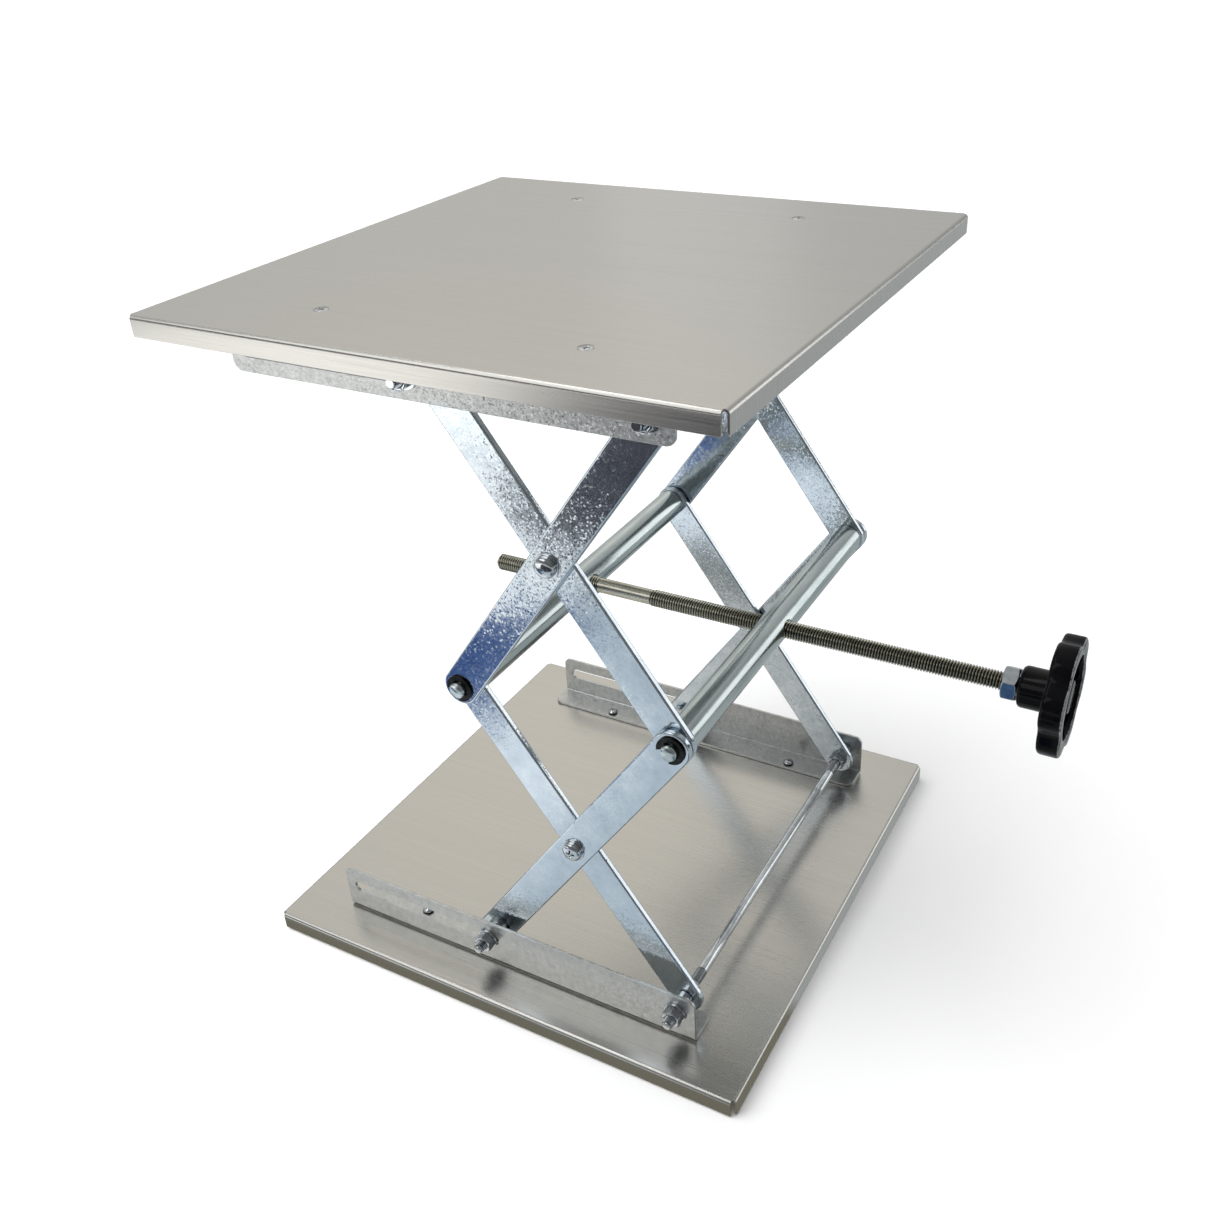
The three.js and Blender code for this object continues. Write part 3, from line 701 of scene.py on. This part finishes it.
def rod(stretches, sides=32):
    """A closed rod about Z, from stretches that follow each other upwards, and which of its points lie
    in a thread's roots, where painted shade darkens it. A stretch is (radius, start, end), or
    (radius, start, end, pitch, hand) where it is threaded."""
    points, faces, root_shade = [], [], []
    last = None
    for radius, start, end, *helix in stretches:
        if helix:
            rows = thread_rows(radius, start, end, *helix, sides)
            crest = radius - THREAD_DEPTH / 2 * helix[0]
        else:
            rows = [ring(radius, start, sides), ring(radius, end, sides)]
            crest = 0
        loops = []
        for row in rows:
            loops.append(range(len(points), len(points) + sides))
            points.extend(row)
            # Points in the thread's roots are marked for painted shade.
            root_shade.extend(1.0 if math.hypot(x, y) < crest else 0.0 for x, y, _ in row)
        shift = 4 * helix[1] if helix else 0
        for k in range(len(loops) - 1):
            for i in range(sides - 1):
                faces.append((loops[k][i], loops[k][i + 1], loops[k + 1][i + 1], loops[k + 1][i]))
            if 0 <= k + shift < len(loops) - 1:
                low, high = loops[k + shift], loops[k + shift + 1]
                faces.append((loops[k][sides - 1], low[0], high[0], loops[k + 1][sides - 1]))
        if last:
            for i in range(sides):
                j = (i + 1) % sides
                faces.append((last[i], last[j], loops[0][j], loops[0][i]))
        last = loops[-1]
    faces.append(tuple(reversed(range(sides))))
    faces.append(tuple(last))
    return (points, faces), root_shade


def hex_nut(flats, length, bore, start=0, sides=72):
    """A hexagon nut about Z, from start upwards, with its corners and its bore's mouths chamfered."""
    face = flats / 2 * 0.97
    slope = math.tan(math.radians(30))
    mouth = bore * 1.12
    lip = mouth - bore

    def row(radius, height):
        return ring(radius, start + height, sides)

    def hexagon(top):
        points = []
        for angle in around(sides):
            off = (angle + math.pi / 6) % (math.pi / 3) - math.pi / 6
            radius = flats / 2 / math.cos(off)
            drop = (radius - face) * slope
            height = length - drop if top else drop
            points.append(polar(radius, angle, start + height))
        return points

    return skin([row(bore, lip), row(mouth, 0), row(face, 0), hexagon(False), hexagon(True),
                 row(face, length), row(mouth, length), row(bore, length - lip)], closed=True)


def washer(radius, bore, start, end, sides=48):
    edge = min(WASHER_EDGE, (end - start) / 4)
    return turned([(bore, start), (radius - edge, start), (radius, start + edge), (radius, end - edge),
                   (radius - edge, end), (bore, end), (bore, start)], sides)


def cross_head(radius, height, shank, length, flat=False):
    """A screw about Z with its head's seat at z = 0 and the shank below. Flat heads are countersunk,
    with their face at z = 0."""
    if flat:
        head = [(shank, shank - radius), (radius, -0.5), (radius - 0.25, -0.3), (radius - 0.55, -0.12),
                (radius * 0.6, 0), (0, 0)]
    else:
        rim = 0.35 * height
        head = [(shank, 0), (radius, 0)]
        for angle in (math.radians(degrees) for degrees in (0, 20, 40, 58, 74)):
            head.append((radius * math.cos(angle), rim + (height - rim) * math.sin(angle)))
        head.append((0, height))
    tip = [(0, -length), (shank - BOLT_TIP, -length), (shank, BOLT_TIP - length)]
    return turned(tip + head, 40)


def cross_cutter(top, radius, depth):
    """Two bars that cross and taper downwards, for the recess of a cross-head screw."""
    points, faces = [], []
    above = (top + 1, radius * 1.15, radius * 0.20)
    below = (top - depth, radius * 0.35, radius * 0.10)
    quads = ((3, 2, 1, 0), (4, 5, 6, 7), (0, 1, 5, 4), (1, 2, 6, 5), (2, 3, 7, 6), (3, 0, 4, 7))
    for turn in (0, math.pi / 2):
        c, s = math.cos(turn), math.sin(turn)
        first = len(points)
        for height, reach, half in (above, below):
            for x, y in ((-reach, -half), (reach, -half), (reach, half), (-reach, half)):
                points.append((x * c - y * s, x * s + y * c, height))
        faces.extend(tuple(first + i for i in quad) for quad in quads)
    return points, faces


# ---- Making pieces

def solid_mesh(name, shape, root_shade=None):
    """A mesh from a shape, with painted shade, from 0 to 1, on the points listed as lying in a thread's
    roots.
    """
    points, faces, *pattern = shape
    mesh = bpy.data.meshes.new(name)
    mesh.from_pydata([Vector(p) * MM for p in points], [], faces)
    # The painted shade of a thread's roots, kept as a mark on the mesh.
    if root_shade:
        mesh.attributes.new("painted_shade", "FLOAT", "POINT").data.foreach_set("value", root_shade)
    if pattern:
        layer = mesh.uv_layers.new(name="pattern")
        for loop in mesh.loops:
            layer.data[loop.index].uv = Vector(pattern[0][loop.vertex_index]) * MM
    cleaner = bmesh.new()
    cleaner.from_mesh(mesh)
    loose = [v for v in cleaner.verts if not v.link_faces]
    bmesh.ops.delete(cleaner, geom=loose, context="VERTS")
    bmesh.ops.remove_doubles(cleaner, verts=cleaner.verts, dist=0.0005 * MM)
    bmesh.ops.recalc_face_normals(cleaner, faces=cleaner.faces)
    if pattern:
        bmesh.ops.dissolve_limit(cleaner, angle_limit=math.radians(0.5), verts=[], edges=cleaner.edges)
    cleaner.to_mesh(mesh)
    cleaner.free()
    mesh.shade_smooth()
    return mesh


def carved(mesh, cutter_shape, name):
    """The mesh with another shape cut out of it."""
    whole = added(name, mesh)
    cutter = added(name + "_cutter", solid_mesh(name + "_cutter", cutter_shape))
    cut = whole.modifiers.new("cut", "BOOLEAN")
    cut.operation = "DIFFERENCE"
    cut.solver = "EXACT"
    cut.use_self = True
    cut.object = cutter
    depsgraph = bpy.context.evaluated_depsgraph_get()
    result = bpy.data.meshes.new_from_object(whole.evaluated_get(depsgraph))
    for item in (whole, cutter):
        bpy.data.objects.remove(item)
    result.name = name
    result.shade_smooth()
    return result


def marked(mesh, name, holds):
    """Gives the mesh a named mark, 1 at the points for which the test holds and 0 elsewhere."""
    marks = [float(holds(vertex.co)) for vertex in mesh.vertices]
    mesh.attributes.new(name, "FLOAT", "POINT").data.foreach_set("value", marks)


def place_piece(name, mesh, place, body, slot, bevel=0, node=None):
    piece = added(name, mesh)
    piece.matrix_world = place
    piece.data.materials.clear()
    piece.data.materials.append(MATERIALS[slot])
    if bevel:
        edge = piece.modifiers.new("edge", "BEVEL")
        edge.width = bevel * MM
        edge.segments = 3
        edge.use_clamp_overlap = False
        edge.limit_method = "ANGLE"
        edge.angle_limit = ROUNDED_ANGLE
        weight = piece.modifiers.new("normals", "WEIGHTED_NORMAL")
        weight.keep_sharp = False
    else:
        mesh.set_sharp_from_angle(angle=SHARP_ANGLE)
    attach(piece, body)
    if node:
        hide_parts(node)


def stand_in(node, mesh, place, bevel=0):
    """A finished piece in place of a CAD node, on the same body and with the same finish."""
    place_piece(node + "_finish", mesh, place, BODY_OF[node], SLOT_OF[node], bevel, node)


def extra(name, shape, place, body, bevel=0):
    """A nut, washer, spacer or bolt head that has no CAD node of its own."""
    place_piece(name, solid_mesh(name, shape), place, body, "fastener_zinc", bevel)


def at(x, y, z):
    return Matrix.Translation(Vector((x, y, z)) * MM)


def outward(x, z, side):
    """Turns a shape built along +Z so that it points away from the middle plane along Y."""
    turn = Matrix(((1, 0, 0), (0, 0, side), (0, -side, 0))).to_4x4()
    return at(x, 0, z) @ turn


def along_x(z):
    """Turns a shape built along +Z so that it points along +X, and its X axis to +Y."""
    turn = Matrix(((0, 0, 1), (1, 0, 0), (0, 1, 0))).to_4x4()
    return at(MIDDLE_X, 0, z) @ turn


# ---- Plates

def screw_places():
    return [(node, (box_mm(node)[0] + box_mm(node)[1]) / 2)
            for node in sorted(BODY_OF) if node.startswith(("base_screw", "top_screw"))]


def fold_down(distance, depth, flat):
    """Where a point at a distance from the plate's middle goes once its edge is folded down."""
    over = abs(distance) - flat
    if over <= 0:
        return distance, -depth
    bend = PLATE_FOLD * math.pi / 2
    angle = min(over / PLATE_FOLD, math.pi / 2)
    radius = PLATE_FOLD - depth
    reach = flat + radius * math.sin(angle)
    height = -PLATE_FOLD + radius * math.cos(angle) - max(over - bend, 0)
    return math.copysign(reach, distance), height


def plate(node, countersunk):
    low, high = box_mm(node)
    half = (high.x - low.x) / 2
    flat = half - PLATE_FOLD
    edge = flat + PLATE_FOLD * math.pi / 2 + (high.z - low.z) - PLATE_FOLD
    reach = half - CORNER_GAP
    corner = [(edge, -reach, SHEET_CORNER), (edge, reach, SHEET_CORNER), (flat, reach), (reach, flat)]
    outline = []
    for turn in range(4):
        c, s = round(math.cos(turn * math.pi / 2)), round(math.sin(turn * math.pi / 2))
        outline.extend((x * c - y * s, x * s + y * c, *r) for x, y, *r in corner)
    outline = rounded(outline, 3)
    prefix = node.split("_")[0]
    holes_at = [(p.x - MIDDLE_X, p.y) for name, p in screw_places() if name.startswith(prefix)]
    mouth = COUNTERSINK_RADIUS if countersunk else PLATE_SCREW_HOLE
    seams = []
    for step in range(FOLD_STEPS + 1):
        line = flat + PLATE_FOLD * math.pi / 2 * step / FOLD_STEPS
        for sign in (-1, 1):
            seams.append(((sign * line, -reach), (sign * line, reach)))
            seams.append(((-reach, sign * line), (reach, sign * line)))

    def form(u, v, depth):
        if countersunk:
            for x, y in holes_at:
                off = Vector((u - x, v - y))
                if off.length < mouth + 0.01:
                    off *= (mouth - depth) / mouth
                    return (x + off.x, y + off.y, -depth)
        if abs(u) >= abs(v):
            x, z = fold_down(u, depth, flat)
            return (x, v, z)
        y, z = fold_down(v, depth, flat)
        return (u, y, z)

    holes = [circle(x, y, mouth) for x, y in holes_at]
    shape = sheet(outline, holes, seams, PLATE_THICKNESS, form)
    stand_in(node, solid_mesh(node, shape), at(MIDDLE_X, 0, high.z), SHEET_EDGE)


# ---- Rails

def rail(node, side):
    """An L section with its foot against the plate. The top rails are the same, upside down."""
    low, high = box_mm(node)
    up = 1 if node.startswith("base") else -1
    outer = max(abs(low.y), abs(high.y))
    toe = min(abs(low.y), abs(high.y))
    foot = outer - toe - RAIL_FOLD
    bend = RAIL_FOLD * math.pi / 2
    top = foot + bend + (high.z - low.z) - RAIL_FOLD
    half = (high.x - low.x) / 2
    outline = rounded([(-half, 0, RAIL_CORNER), (half, 0, RAIL_CORNER),
                       (half, top, RAIL_CORNER), (-half, top, RAIL_CORNER)], 6)
    seat = low.z if up > 0 else high.z
    axis = foot + bend + abs(FIXED.z - box_mm("base_rail_near")[0].z) - RAIL_FOLD
    holes = [slot_outline(SLOT_START, SLOT_END, axis, SLOT_WIDTH),
             circle(FIXED.x - MIDDLE_X, axis, BOLT_HOLE)]
    prefix = node.split("_")[0]
    for name, p in screw_places():
        if name.startswith(prefix) and p.y * side > 0:
            holes.append(circle(p.x - MIDDLE_X, abs(p.y) - toe, PLATE_SCREW_HOLE))
    lines = [foot + bend * step / FOLD_STEPS for step in range(FOLD_STEPS + 1)]
    seams = [((-half, line), (half, line)) for line in lines]

    def form(u, v, depth):
        angle = min(max((v - foot) / RAIL_FOLD, 0), math.pi / 2)
        radius = RAIL_FOLD - depth
        y = toe + min(v, foot) + radius * math.sin(angle)
        z = RAIL_FOLD - radius * math.cos(angle) + max(v - foot - bend, 0)
        return (u, side * y, up * z)

    shape = sheet(outline, holes, seams, RAIL_THICKNESS, form)
    stand_in(node, solid_mesh(node, shape), at(MIDDLE_X, 0, seat), RAIL_EDGE)


# ---- Arms

def arm(node, start, end):
    """A flat bar from its bolted end to its pinned end, lying across Y."""
    inner, outer = across(node)
    side = -1 if node.endswith("near") else 1
    length = (end - start).length
    r = ARM_WIDTH / 2
    half = math.pi / 2
    outline = arc(length, 0, r, -half, half, 24) + arc(0, 0, r, half, 3 * half, 24)
    holes = [circle(0, 0, BOLT_HOLE), circle(length / 2, 0, BOLT_HOLE),
             circle(length, 0, PIN_RADIUS + BORE_GAP)]
    shape = sheet(outline, holes, [], outer - inner, lambda u, v, depth: (u, v, -depth))
    forward = (end - start).normalized()
    out = Vector((0, side, 0))
    turn = Matrix((forward, out.cross(forward), out)).transposed().to_4x4()
    place = Matrix.Translation((start + out * outer) * MM) @ turn
    stand_in(node, solid_mesh(node, shape), place, ARM_EDGE)


def arms():
    for side_name, _ in SIDES:
        arm(f"lower_inner_arm_{side_name}", FIXED, LEFT)
        arm(f"lower_outer_arm_{side_name}", SLIDER, RIGHT)
        arm(f"upper_inner_arm_{side_name}", UPPER_SLIDER, RIGHT)
        arm(f"upper_outer_arm_{side_name}", UPPER_FIXED, LEFT)


# ---- Cross bars, clips and the washers on their pins

def cross_bar(node):
    low, high = box_mm(node)
    radius = (high.x - low.x) / 2
    end = high.y
    clip_start, clip_end = across(node.replace("cross_bar", "clip_far"))
    shoulder = across("lower_inner_arm_far")[0] - FIT_GAP
    c = BAR_CHAMFER
    half = [(radius, shoulder - c), (radius - c, shoulder), (PIN_RADIUS, shoulder),
            (PIN_RADIUS, clip_start - SEAT_GAP), (GROOVE_RADIUS, clip_start - SEAT_GAP),
            (GROOVE_RADIUS, clip_end + SEAT_GAP), (PIN_RADIUS, clip_end + SEAT_GAP),
            (PIN_RADIUS, end - c), (PIN_RADIUS - c / 4, end - c / 2), (PIN_RADIUS - c, end), (0, end)]
    profile = [(r, -h) for r, h in reversed(half)] + half
    bar = solid_mesh(node, turned(profile, 64))
    bore = SCREW_RADIUS + SEAT_GAP
    deep, shallow, wider = BAR_MOUTH
    mouth = bore + wider
    upper = [(bore, radius - deep), (mouth, radius - shallow), (mouth, radius + 1), (0, radius + 1)]
    points, faces = turned([(r, -h) for r, h in reversed(upper)] + upper)
    cutter = ([(z, x, y) for x, y, z in points], faces)
    stand_in(node, carved(bar, cutter, node), outward((low.x + high.x) / 2, LEFT.z, 1))


def clip(node, x, side):
    """An E-shaped clip whose three lugs reach into the pin's groove."""
    start, end = across(node)
    bore = GROOVE_RADIUS + SEAT_GAP
    pocket = bore + CLIP_POCKET
    tip = math.pi - CLIP_MOUTH / 2
    lug = tip / 10
    outline = arc(0, 0, CLIP_RADIUS, -tip, tip, 40)
    outline += arc(0, 0, bore, tip - lug, tip - 3 * lug, 6)
    outline += arc(0, 0, pocket, tip - 4.5 * lug, 2 * lug, 10)
    outline += arc(0, 0, bore, lug, -lug, 6)
    outline += arc(0, 0, pocket, -2 * lug, 4.5 * lug - tip, 10)
    outline += arc(0, 0, bore, 3 * lug - tip, lug - tip, 6)
    c, s = math.cos(side * CLIP_TILT), math.sin(side * CLIP_TILT)
    tilted = [(u * c + v * s, v * c - u * s) for u, v in outline]
    shape = sheet(tilted, [], [], end - start, lambda u, v, depth: (u, v, end - depth))
    stand_in(node, solid_mesh(node, shape), outward(x, LEFT.z, side), CLIP_EDGE)


def bars():
    inner_end = across("lower_inner_arm_far")[1]
    outer_start = across("lower_outer_arm_far")[0]
    between = (inner_end + SEAT_GAP, outer_start - SEAT_GAP)
    for name, x in (("left", LEFT.x), ("right", RIGHT.x)):
        cross_bar(f"{name}_cross_bar")
        for side_name, side in SIDES:
            clip(f"{name}_clip_{side_name}", x, side)
            shape = washer(ARM_WASHER_RADIUS, PIN_RADIUS + BORE_GAP, *between)
            extra(f"{name}_arm_washer_{side_name}", shape, outward(x, LEFT.z, side), f"{name}_bar")


# ---- Lead screw, lock nut and handwheel

def lead_screw():
    low, high = box_mm("lead_screw")
    start, end = low.x - MIDDLE_X, high.x - MIDDLE_X
    shank_start, shank_end = SHANK_SPAN
    neck = SCREW_RADIUS - THREAD_DEPTH * SCREW_PITCH
    tip = start + SCREW_TIP
    shape = rod([
        (neck - BOLT_TIP, start, start),
        (neck, tip, tip + STEP),
        (SCREW_RADIUS, tip + 2 * STEP, shank_start, SCREW_PITCH, 1),
        (SHANK_RADIUS, shank_start + 3 * STEP, shank_end - 3 * STEP),
        (SCREW_RADIUS, shank_end, end, SCREW_PITCH, -1),
    ])
    stand_in("lead_screw", solid_mesh("lead_screw", *shape), along_x(LEFT.z))


def lock_nut():
    low, high = box_mm("lock_nut")
    shape = hex_nut(LOCK_NUT_FLATS, high.x - low.x, SCREW_RADIUS + SEAT_GAP, low.x - MIDDLE_X)
    stand_in("lock_nut", solid_mesh("lock_nut", shape), along_x(LEFT.z), LOCK_NUT_EDGE)


def handwheel():
    """A lobed wheel on a round hub, with a boss and ribs inside its dished outer face. Its rows go
    from the blind bore over hub, back and rim to the middle of the outer face."""
    low, high = box_mm("handwheel")
    start, end = low.x - MIDDLE_X, high.x - MIDDLE_X
    back = end - WHEEL_WIDTH
    floor = end - DISH_DEPTH
    sides = 240
    bore = SCREW_RADIUS + WHEEL_BORE_GAP

    def lobed(inset, height):
        points = []
        for angle in around(sides):
            wave = (1 - math.cos(WHEEL_LOBES * (angle - FIRST_LOBE))) / 2
            radius = WHEEL_RADIUS - inset - LOBE_DEPTH * wave ** 2
            points.append(polar(radius, angle, height))
        return points

    def dished(radius, lift):
        points = []
        for angle in around(sides):
            off = (angle * RIBS / (2 * math.pi) + 0.5) % 1 - 0.5
            away = abs(off) * 2 * math.pi / RIBS * radius
            rib = max(0, min(1, (RIB_HALF_WIDTH - away) / RIB_SLOPE))
            points.append(polar(radius, angle, floor + lift * rib))
        return points

    rows = [
        [(0, 0, back)], ring(bore, back, sides), ring(bore, start, sides),
        ring(HUB_RADIUS - 1.8, start, sides), ring(HUB_RADIUS - 0.9, start + 0.25, sides),
        ring(HUB_RADIUS - 0.25, start + 0.9, sides), ring(HUB_RADIUS, start + 1.8, sides),
        ring(HUB_RADIUS, back - 1, sides), ring(HUB_RADIUS + 0.3, back - 0.3, sides),
        ring(HUB_RADIUS + 1, back, sides),
        lobed(1.6, back), lobed(0.75, back + 0.25), lobed(0.22, back + 0.75), lobed(0, back + 1.6),
        lobed(0, end - 1.2), lobed(0.18, end - 0.6), lobed(0.6, end - 0.18), lobed(1.2, end),
        ring(DISH_RADIUS + 0.4, end, sides), ring(DISH_RADIUS + 0.1, end - 0.15, sides),
        ring(DISH_RADIUS, end - 0.5, sides),
        dished(DISH_RADIUS - 0.3, DISH_DEPTH - 1.6), dished(DISH_RADIUS - 0.9, DISH_DEPTH - 1.6),
        dished((DISH_RADIUS + BOSS_RADIUS) / 2, DISH_DEPTH - 2), dished(BOSS_RADIUS + 0.6, DISH_DEPTH - 2.4),
        ring(BOSS_RADIUS, end - 1.6, sides), ring(BOSS_RADIUS - 0.3, end - 1.1, sides),
        ring(BOSS_RADIUS - 0.9, end - 0.9, sides), [(0, 0, end - 0.9)],
    ]
    mesh = solid_mesh("handwheel", skin(rows))
    # The marked edge gets grey patches: partly rubbed wear, partly a painted highlight.
    wear_and_highlight_low, wear_and_highlight_high = (end - depth for depth in WEAR_AND_HIGHLIGHT_SPAN)
    marked(mesh, "wear_and_highlight", lambda point: wear_and_highlight_low < point.z / MM < wear_and_highlight_high)
    stand_in("handwheel", mesh, along_x(LEFT.z))


# ---- Fasteners

def bolt_end(end):
    """The stretches of a rod past its thread, whose end lies this far out."""
    neck = BOLT_RADIUS - THREAD_DEPTH * BOLT_PITCH
    return [(neck, end - BOLT_TIP - STEP, end - BOLT_TIP), (neck - BOLT_TIP, end, end)]


def tie_rod(node, z):
    """A rod that is threaded at both ends and slimmer in the middle."""
    _, end = across(node)
    waist, shoulder = TIE_ROD_SHOULDERS
    thread_end = end - BOLT_TIP - 2 * STEP
    shape = rod([
        *((radius, -high, -low) for radius, low, high in reversed(bolt_end(end))),
        (BOLT_RADIUS, -thread_end, -shoulder, BOLT_PITCH, 1),
        (TIE_ROD_PLAIN, 2 * STEP - shoulder, -waist),
        (TIE_ROD_WAIST, 4 * STEP - waist, waist - 4 * STEP),
        (TIE_ROD_PLAIN, waist, shoulder - 2 * STEP),
        (BOLT_RADIUS, shoulder, thread_end, BOLT_PITCH, 1),
        *bolt_end(end),
    ], 24)
    stand_in(node, solid_mesh(node, *shape), outward(FIXED.x, z, 1))


def rail_nut(node, x, z, side):
    """A nut with its washer on the outer face of a rail."""
    start, _ = across(node)
    seat = start + WASHER_THICKNESS
    nut = hex_nut(NUT_FLATS, NUT_LENGTH, BOLT_RADIUS, seat)
    stand_in(node, solid_mesh(node, nut), outward(x, z, side), NUT_EDGE)
    shape = washer(WASHER_RADIUS, BOLT_HOLE, start - RAIL_NUT_GAP, seat)
    extra(node.replace("nut", "washer"), shape, outward(x, z, side), BODY_OF[node])


def tie_spacer(node, z, side):
    start, end = across(node)
    rim = SPACER_RADIUS - SPACER_EDGE
    shape = turned([(BOLT_HOLE, start), (rim, start), (SPACER_RADIUS, start + SPACER_EDGE),
                    (SPACER_RADIUS, end - SPACER_EDGE), (rim, end), (BOLT_HOLE, end), (BOLT_HOLE, start)])
    stand_in(node, solid_mesh(node, shape), outward(FIXED.x, z, side))


def slider_bolt(node, z, side):
    start, end = across(node)
    head_end = start + BOLT_HEAD_LENGTH
    plain_end = start + BOLT_PLAIN_LENGTH
    shank = rod([
        (BOLT_RADIUS - 2 * STEP, start + 5 * STEP, head_end),
        (BOLT_RADIUS, head_end + STEP, plain_end),
        (BOLT_RADIUS, plain_end + STEP, end - BOLT_TIP - 2 * STEP, BOLT_PITCH, 1),
        *bolt_end(end),
    ], 24)
    place = outward(SLIDER.x, z, side)
    stand_in(node, solid_mesh(node, *shank), place)
    head = hex_nut(NUT_FLATS, BOLT_HEAD_LENGTH, BOLT_HEAD_BORE, start)
    extra(node + "_head", head, place, BODY_OF[node], NUT_EDGE)


def pivot_screw(node, cross, side):
    """A cross-head screw with a plain and a spring washer, from the outer arm inwards."""
    start, end = across(node)
    plain = across("lower_outer_arm_far")[1] + SEAT_GAP
    spring = plain + PLAIN_WASHER
    seat = spring + SPRING_WASHER
    height = end - seat
    head = solid_mesh(node, cross_head(PIVOT_HEAD_RADIUS, height, PIVOT_SHANK_RADIUS, seat - start))
    head = carved(head, cross_cutter(height, *PIVOT_RECESS), node)
    place = outward(cross.x, cross.z, side)
    stand_in(node, head, place @ at(0, 0, seat))
    for name, radius, low, high in (("plain", WASHER_RADIUS, plain, spring),
                                    ("spring", SPRING_WASHER_RADIUS, spring, seat)):
        shape = washer(radius, BOLT_HOLE, low, high - WASHER_GAP)
        extra(node.replace("screw", name + "_washer"), shape, place, BODY_OF[node])


def pivot_nut(node, cross, side):
    start, end = across(node)
    nut = hex_nut(NUT_FLATS, end - start, BOLT_RADIUS, start)
    stand_in(node, solid_mesh(node, nut), outward(cross.x, cross.z, side), NUT_EDGE)


def plate_screw(node, centre, seat, recess, shade, flat):
    """A cross-head screw whose head sits at a height, with painted shade on every point more than a depth
    under the head's top: in the recess and round the foot of the head.
    """
    low, high = box_mm(node)
    head_height = 0 if flat else high.z - seat
    screw = cross_head((high.x - low.x) / 2, head_height, SMALL_SCREW_RADIUS, seat - low.z, flat)
    mesh = carved(solid_mesh(node, screw), cross_cutter(head_height, *recess), node)
    # Painted shade: points deeper than the given depth, in the recess and round the head's foot, are
    # darkened.
    marked(mesh, "painted_shade", lambda point: point.z / MM < head_height - shade)
    # Each screw was tightened to an angle of its own.
    twist = Matrix.Rotation(centre.x + centre.y, 4, "Z")
    stand_in(node, mesh, at(centre.x, centre.y, seat) @ twist)


def plate_screws():
    foot_top = box_mm("base_rail_near")[0].z + RAIL_THICKNESS
    base_under = PLATE_HIGH.z - PLATE_THICKNESS
    top_under = box_mm("top_rail_near")[1].z - RAIL_THICKNESS
    for node, centre in screw_places():
        if node.startswith("base"):
            plate_screw(node, centre, foot_top, ROUND_RECESS, 1, flat=False)
            under = base_under
        else:
            plate_screw(node, centre, box_mm(node)[1].z, FLAT_RECESS, 0.2, flat=True)
            under = top_under
        nut = hex_nut(SMALL_NUT_FLATS, SMALL_NUT_LENGTH, SMALL_SCREW_RADIUS)
        place = at(centre.x, centre.y, under - SMALL_NUT_LENGTH - SEAT_GAP)
        extra(node.replace("screw", "nut"), nut, place, BODY_OF[node], SMALL_NUT_EDGE)


def fasteners():
    """The lower stage has its inner arms on the tie rod and its outer arms on the slider bolts. The
    upper stage has them the other way round."""
    inner_low, inner_high = across("lower_inner_arm_far")
    outer_low, outer_high = across("lower_outer_arm_far")
    rail_inner = across("base_rail_far")[1] - RAIL_THICKNESS
    stages = (("lower", FIXED.z, LOWER_CROSS, inner_low, outer_high),
              ("upper", UPPER_FIXED.z, UPPER_CROSS, outer_low, inner_high))
    for stage, z, cross, fixed_inner, slider_outer in stages:
        tie_rod(f"{stage}_tie_rod", z)
        for name, side in SIDES:
            rail_nut(f"{stage}_tie_nut_{name}", FIXED.x, z, side)
            tie_spacer(f"{stage}_tie_spacer_{name}", z, side)
            nut = hex_nut(NUT_FLATS, NUT_LENGTH, BOLT_RADIUS, fixed_inner - NUT_LENGTH - INNER_NUT_GAP)
            extra(f"{stage}_tie_inner_nut_{name}", nut, outward(FIXED.x, z, side),
                  BODY_OF[f"{stage}_tie_rod"], NUT_EDGE)
            slider_bolt(f"{stage}_slider_bolt_{name}", z, side)
            rail_nut(f"{stage}_slider_nut_{name}", SLIDER.x, z, side)
            spacer = washer(SLIDER_SPACER_RADIUS, BOLT_HOLE, slider_outer + SEAT_GAP,
                            rail_inner - FIT_GAP)
            extra(f"{stage}_slider_spacer_{name}", spacer, outward(SLIDER.x, z, side),
                  BODY_OF[f"{stage}_slider_bolt_{name}"])
            pivot_screw(f"{stage}_pivot_screw_{name}", cross, side)
            pivot_nut(f"{stage}_pivot_nut_{name}", cross, side)
    plate_screws()


# ---- The whole jack

plate("base_plate", countersunk=False)
plate("top_plate", countersunk=True)
for side_name, side in SIDES:
    rail(f"base_rail_{side_name}", side)
    rail(f"top_rail_{side_name}", side)
arms()
bars()
lead_screw()
lock_nut()
handwheel()
fasteners()
add_camera()
add_floor()
add_boards()
add_studio()
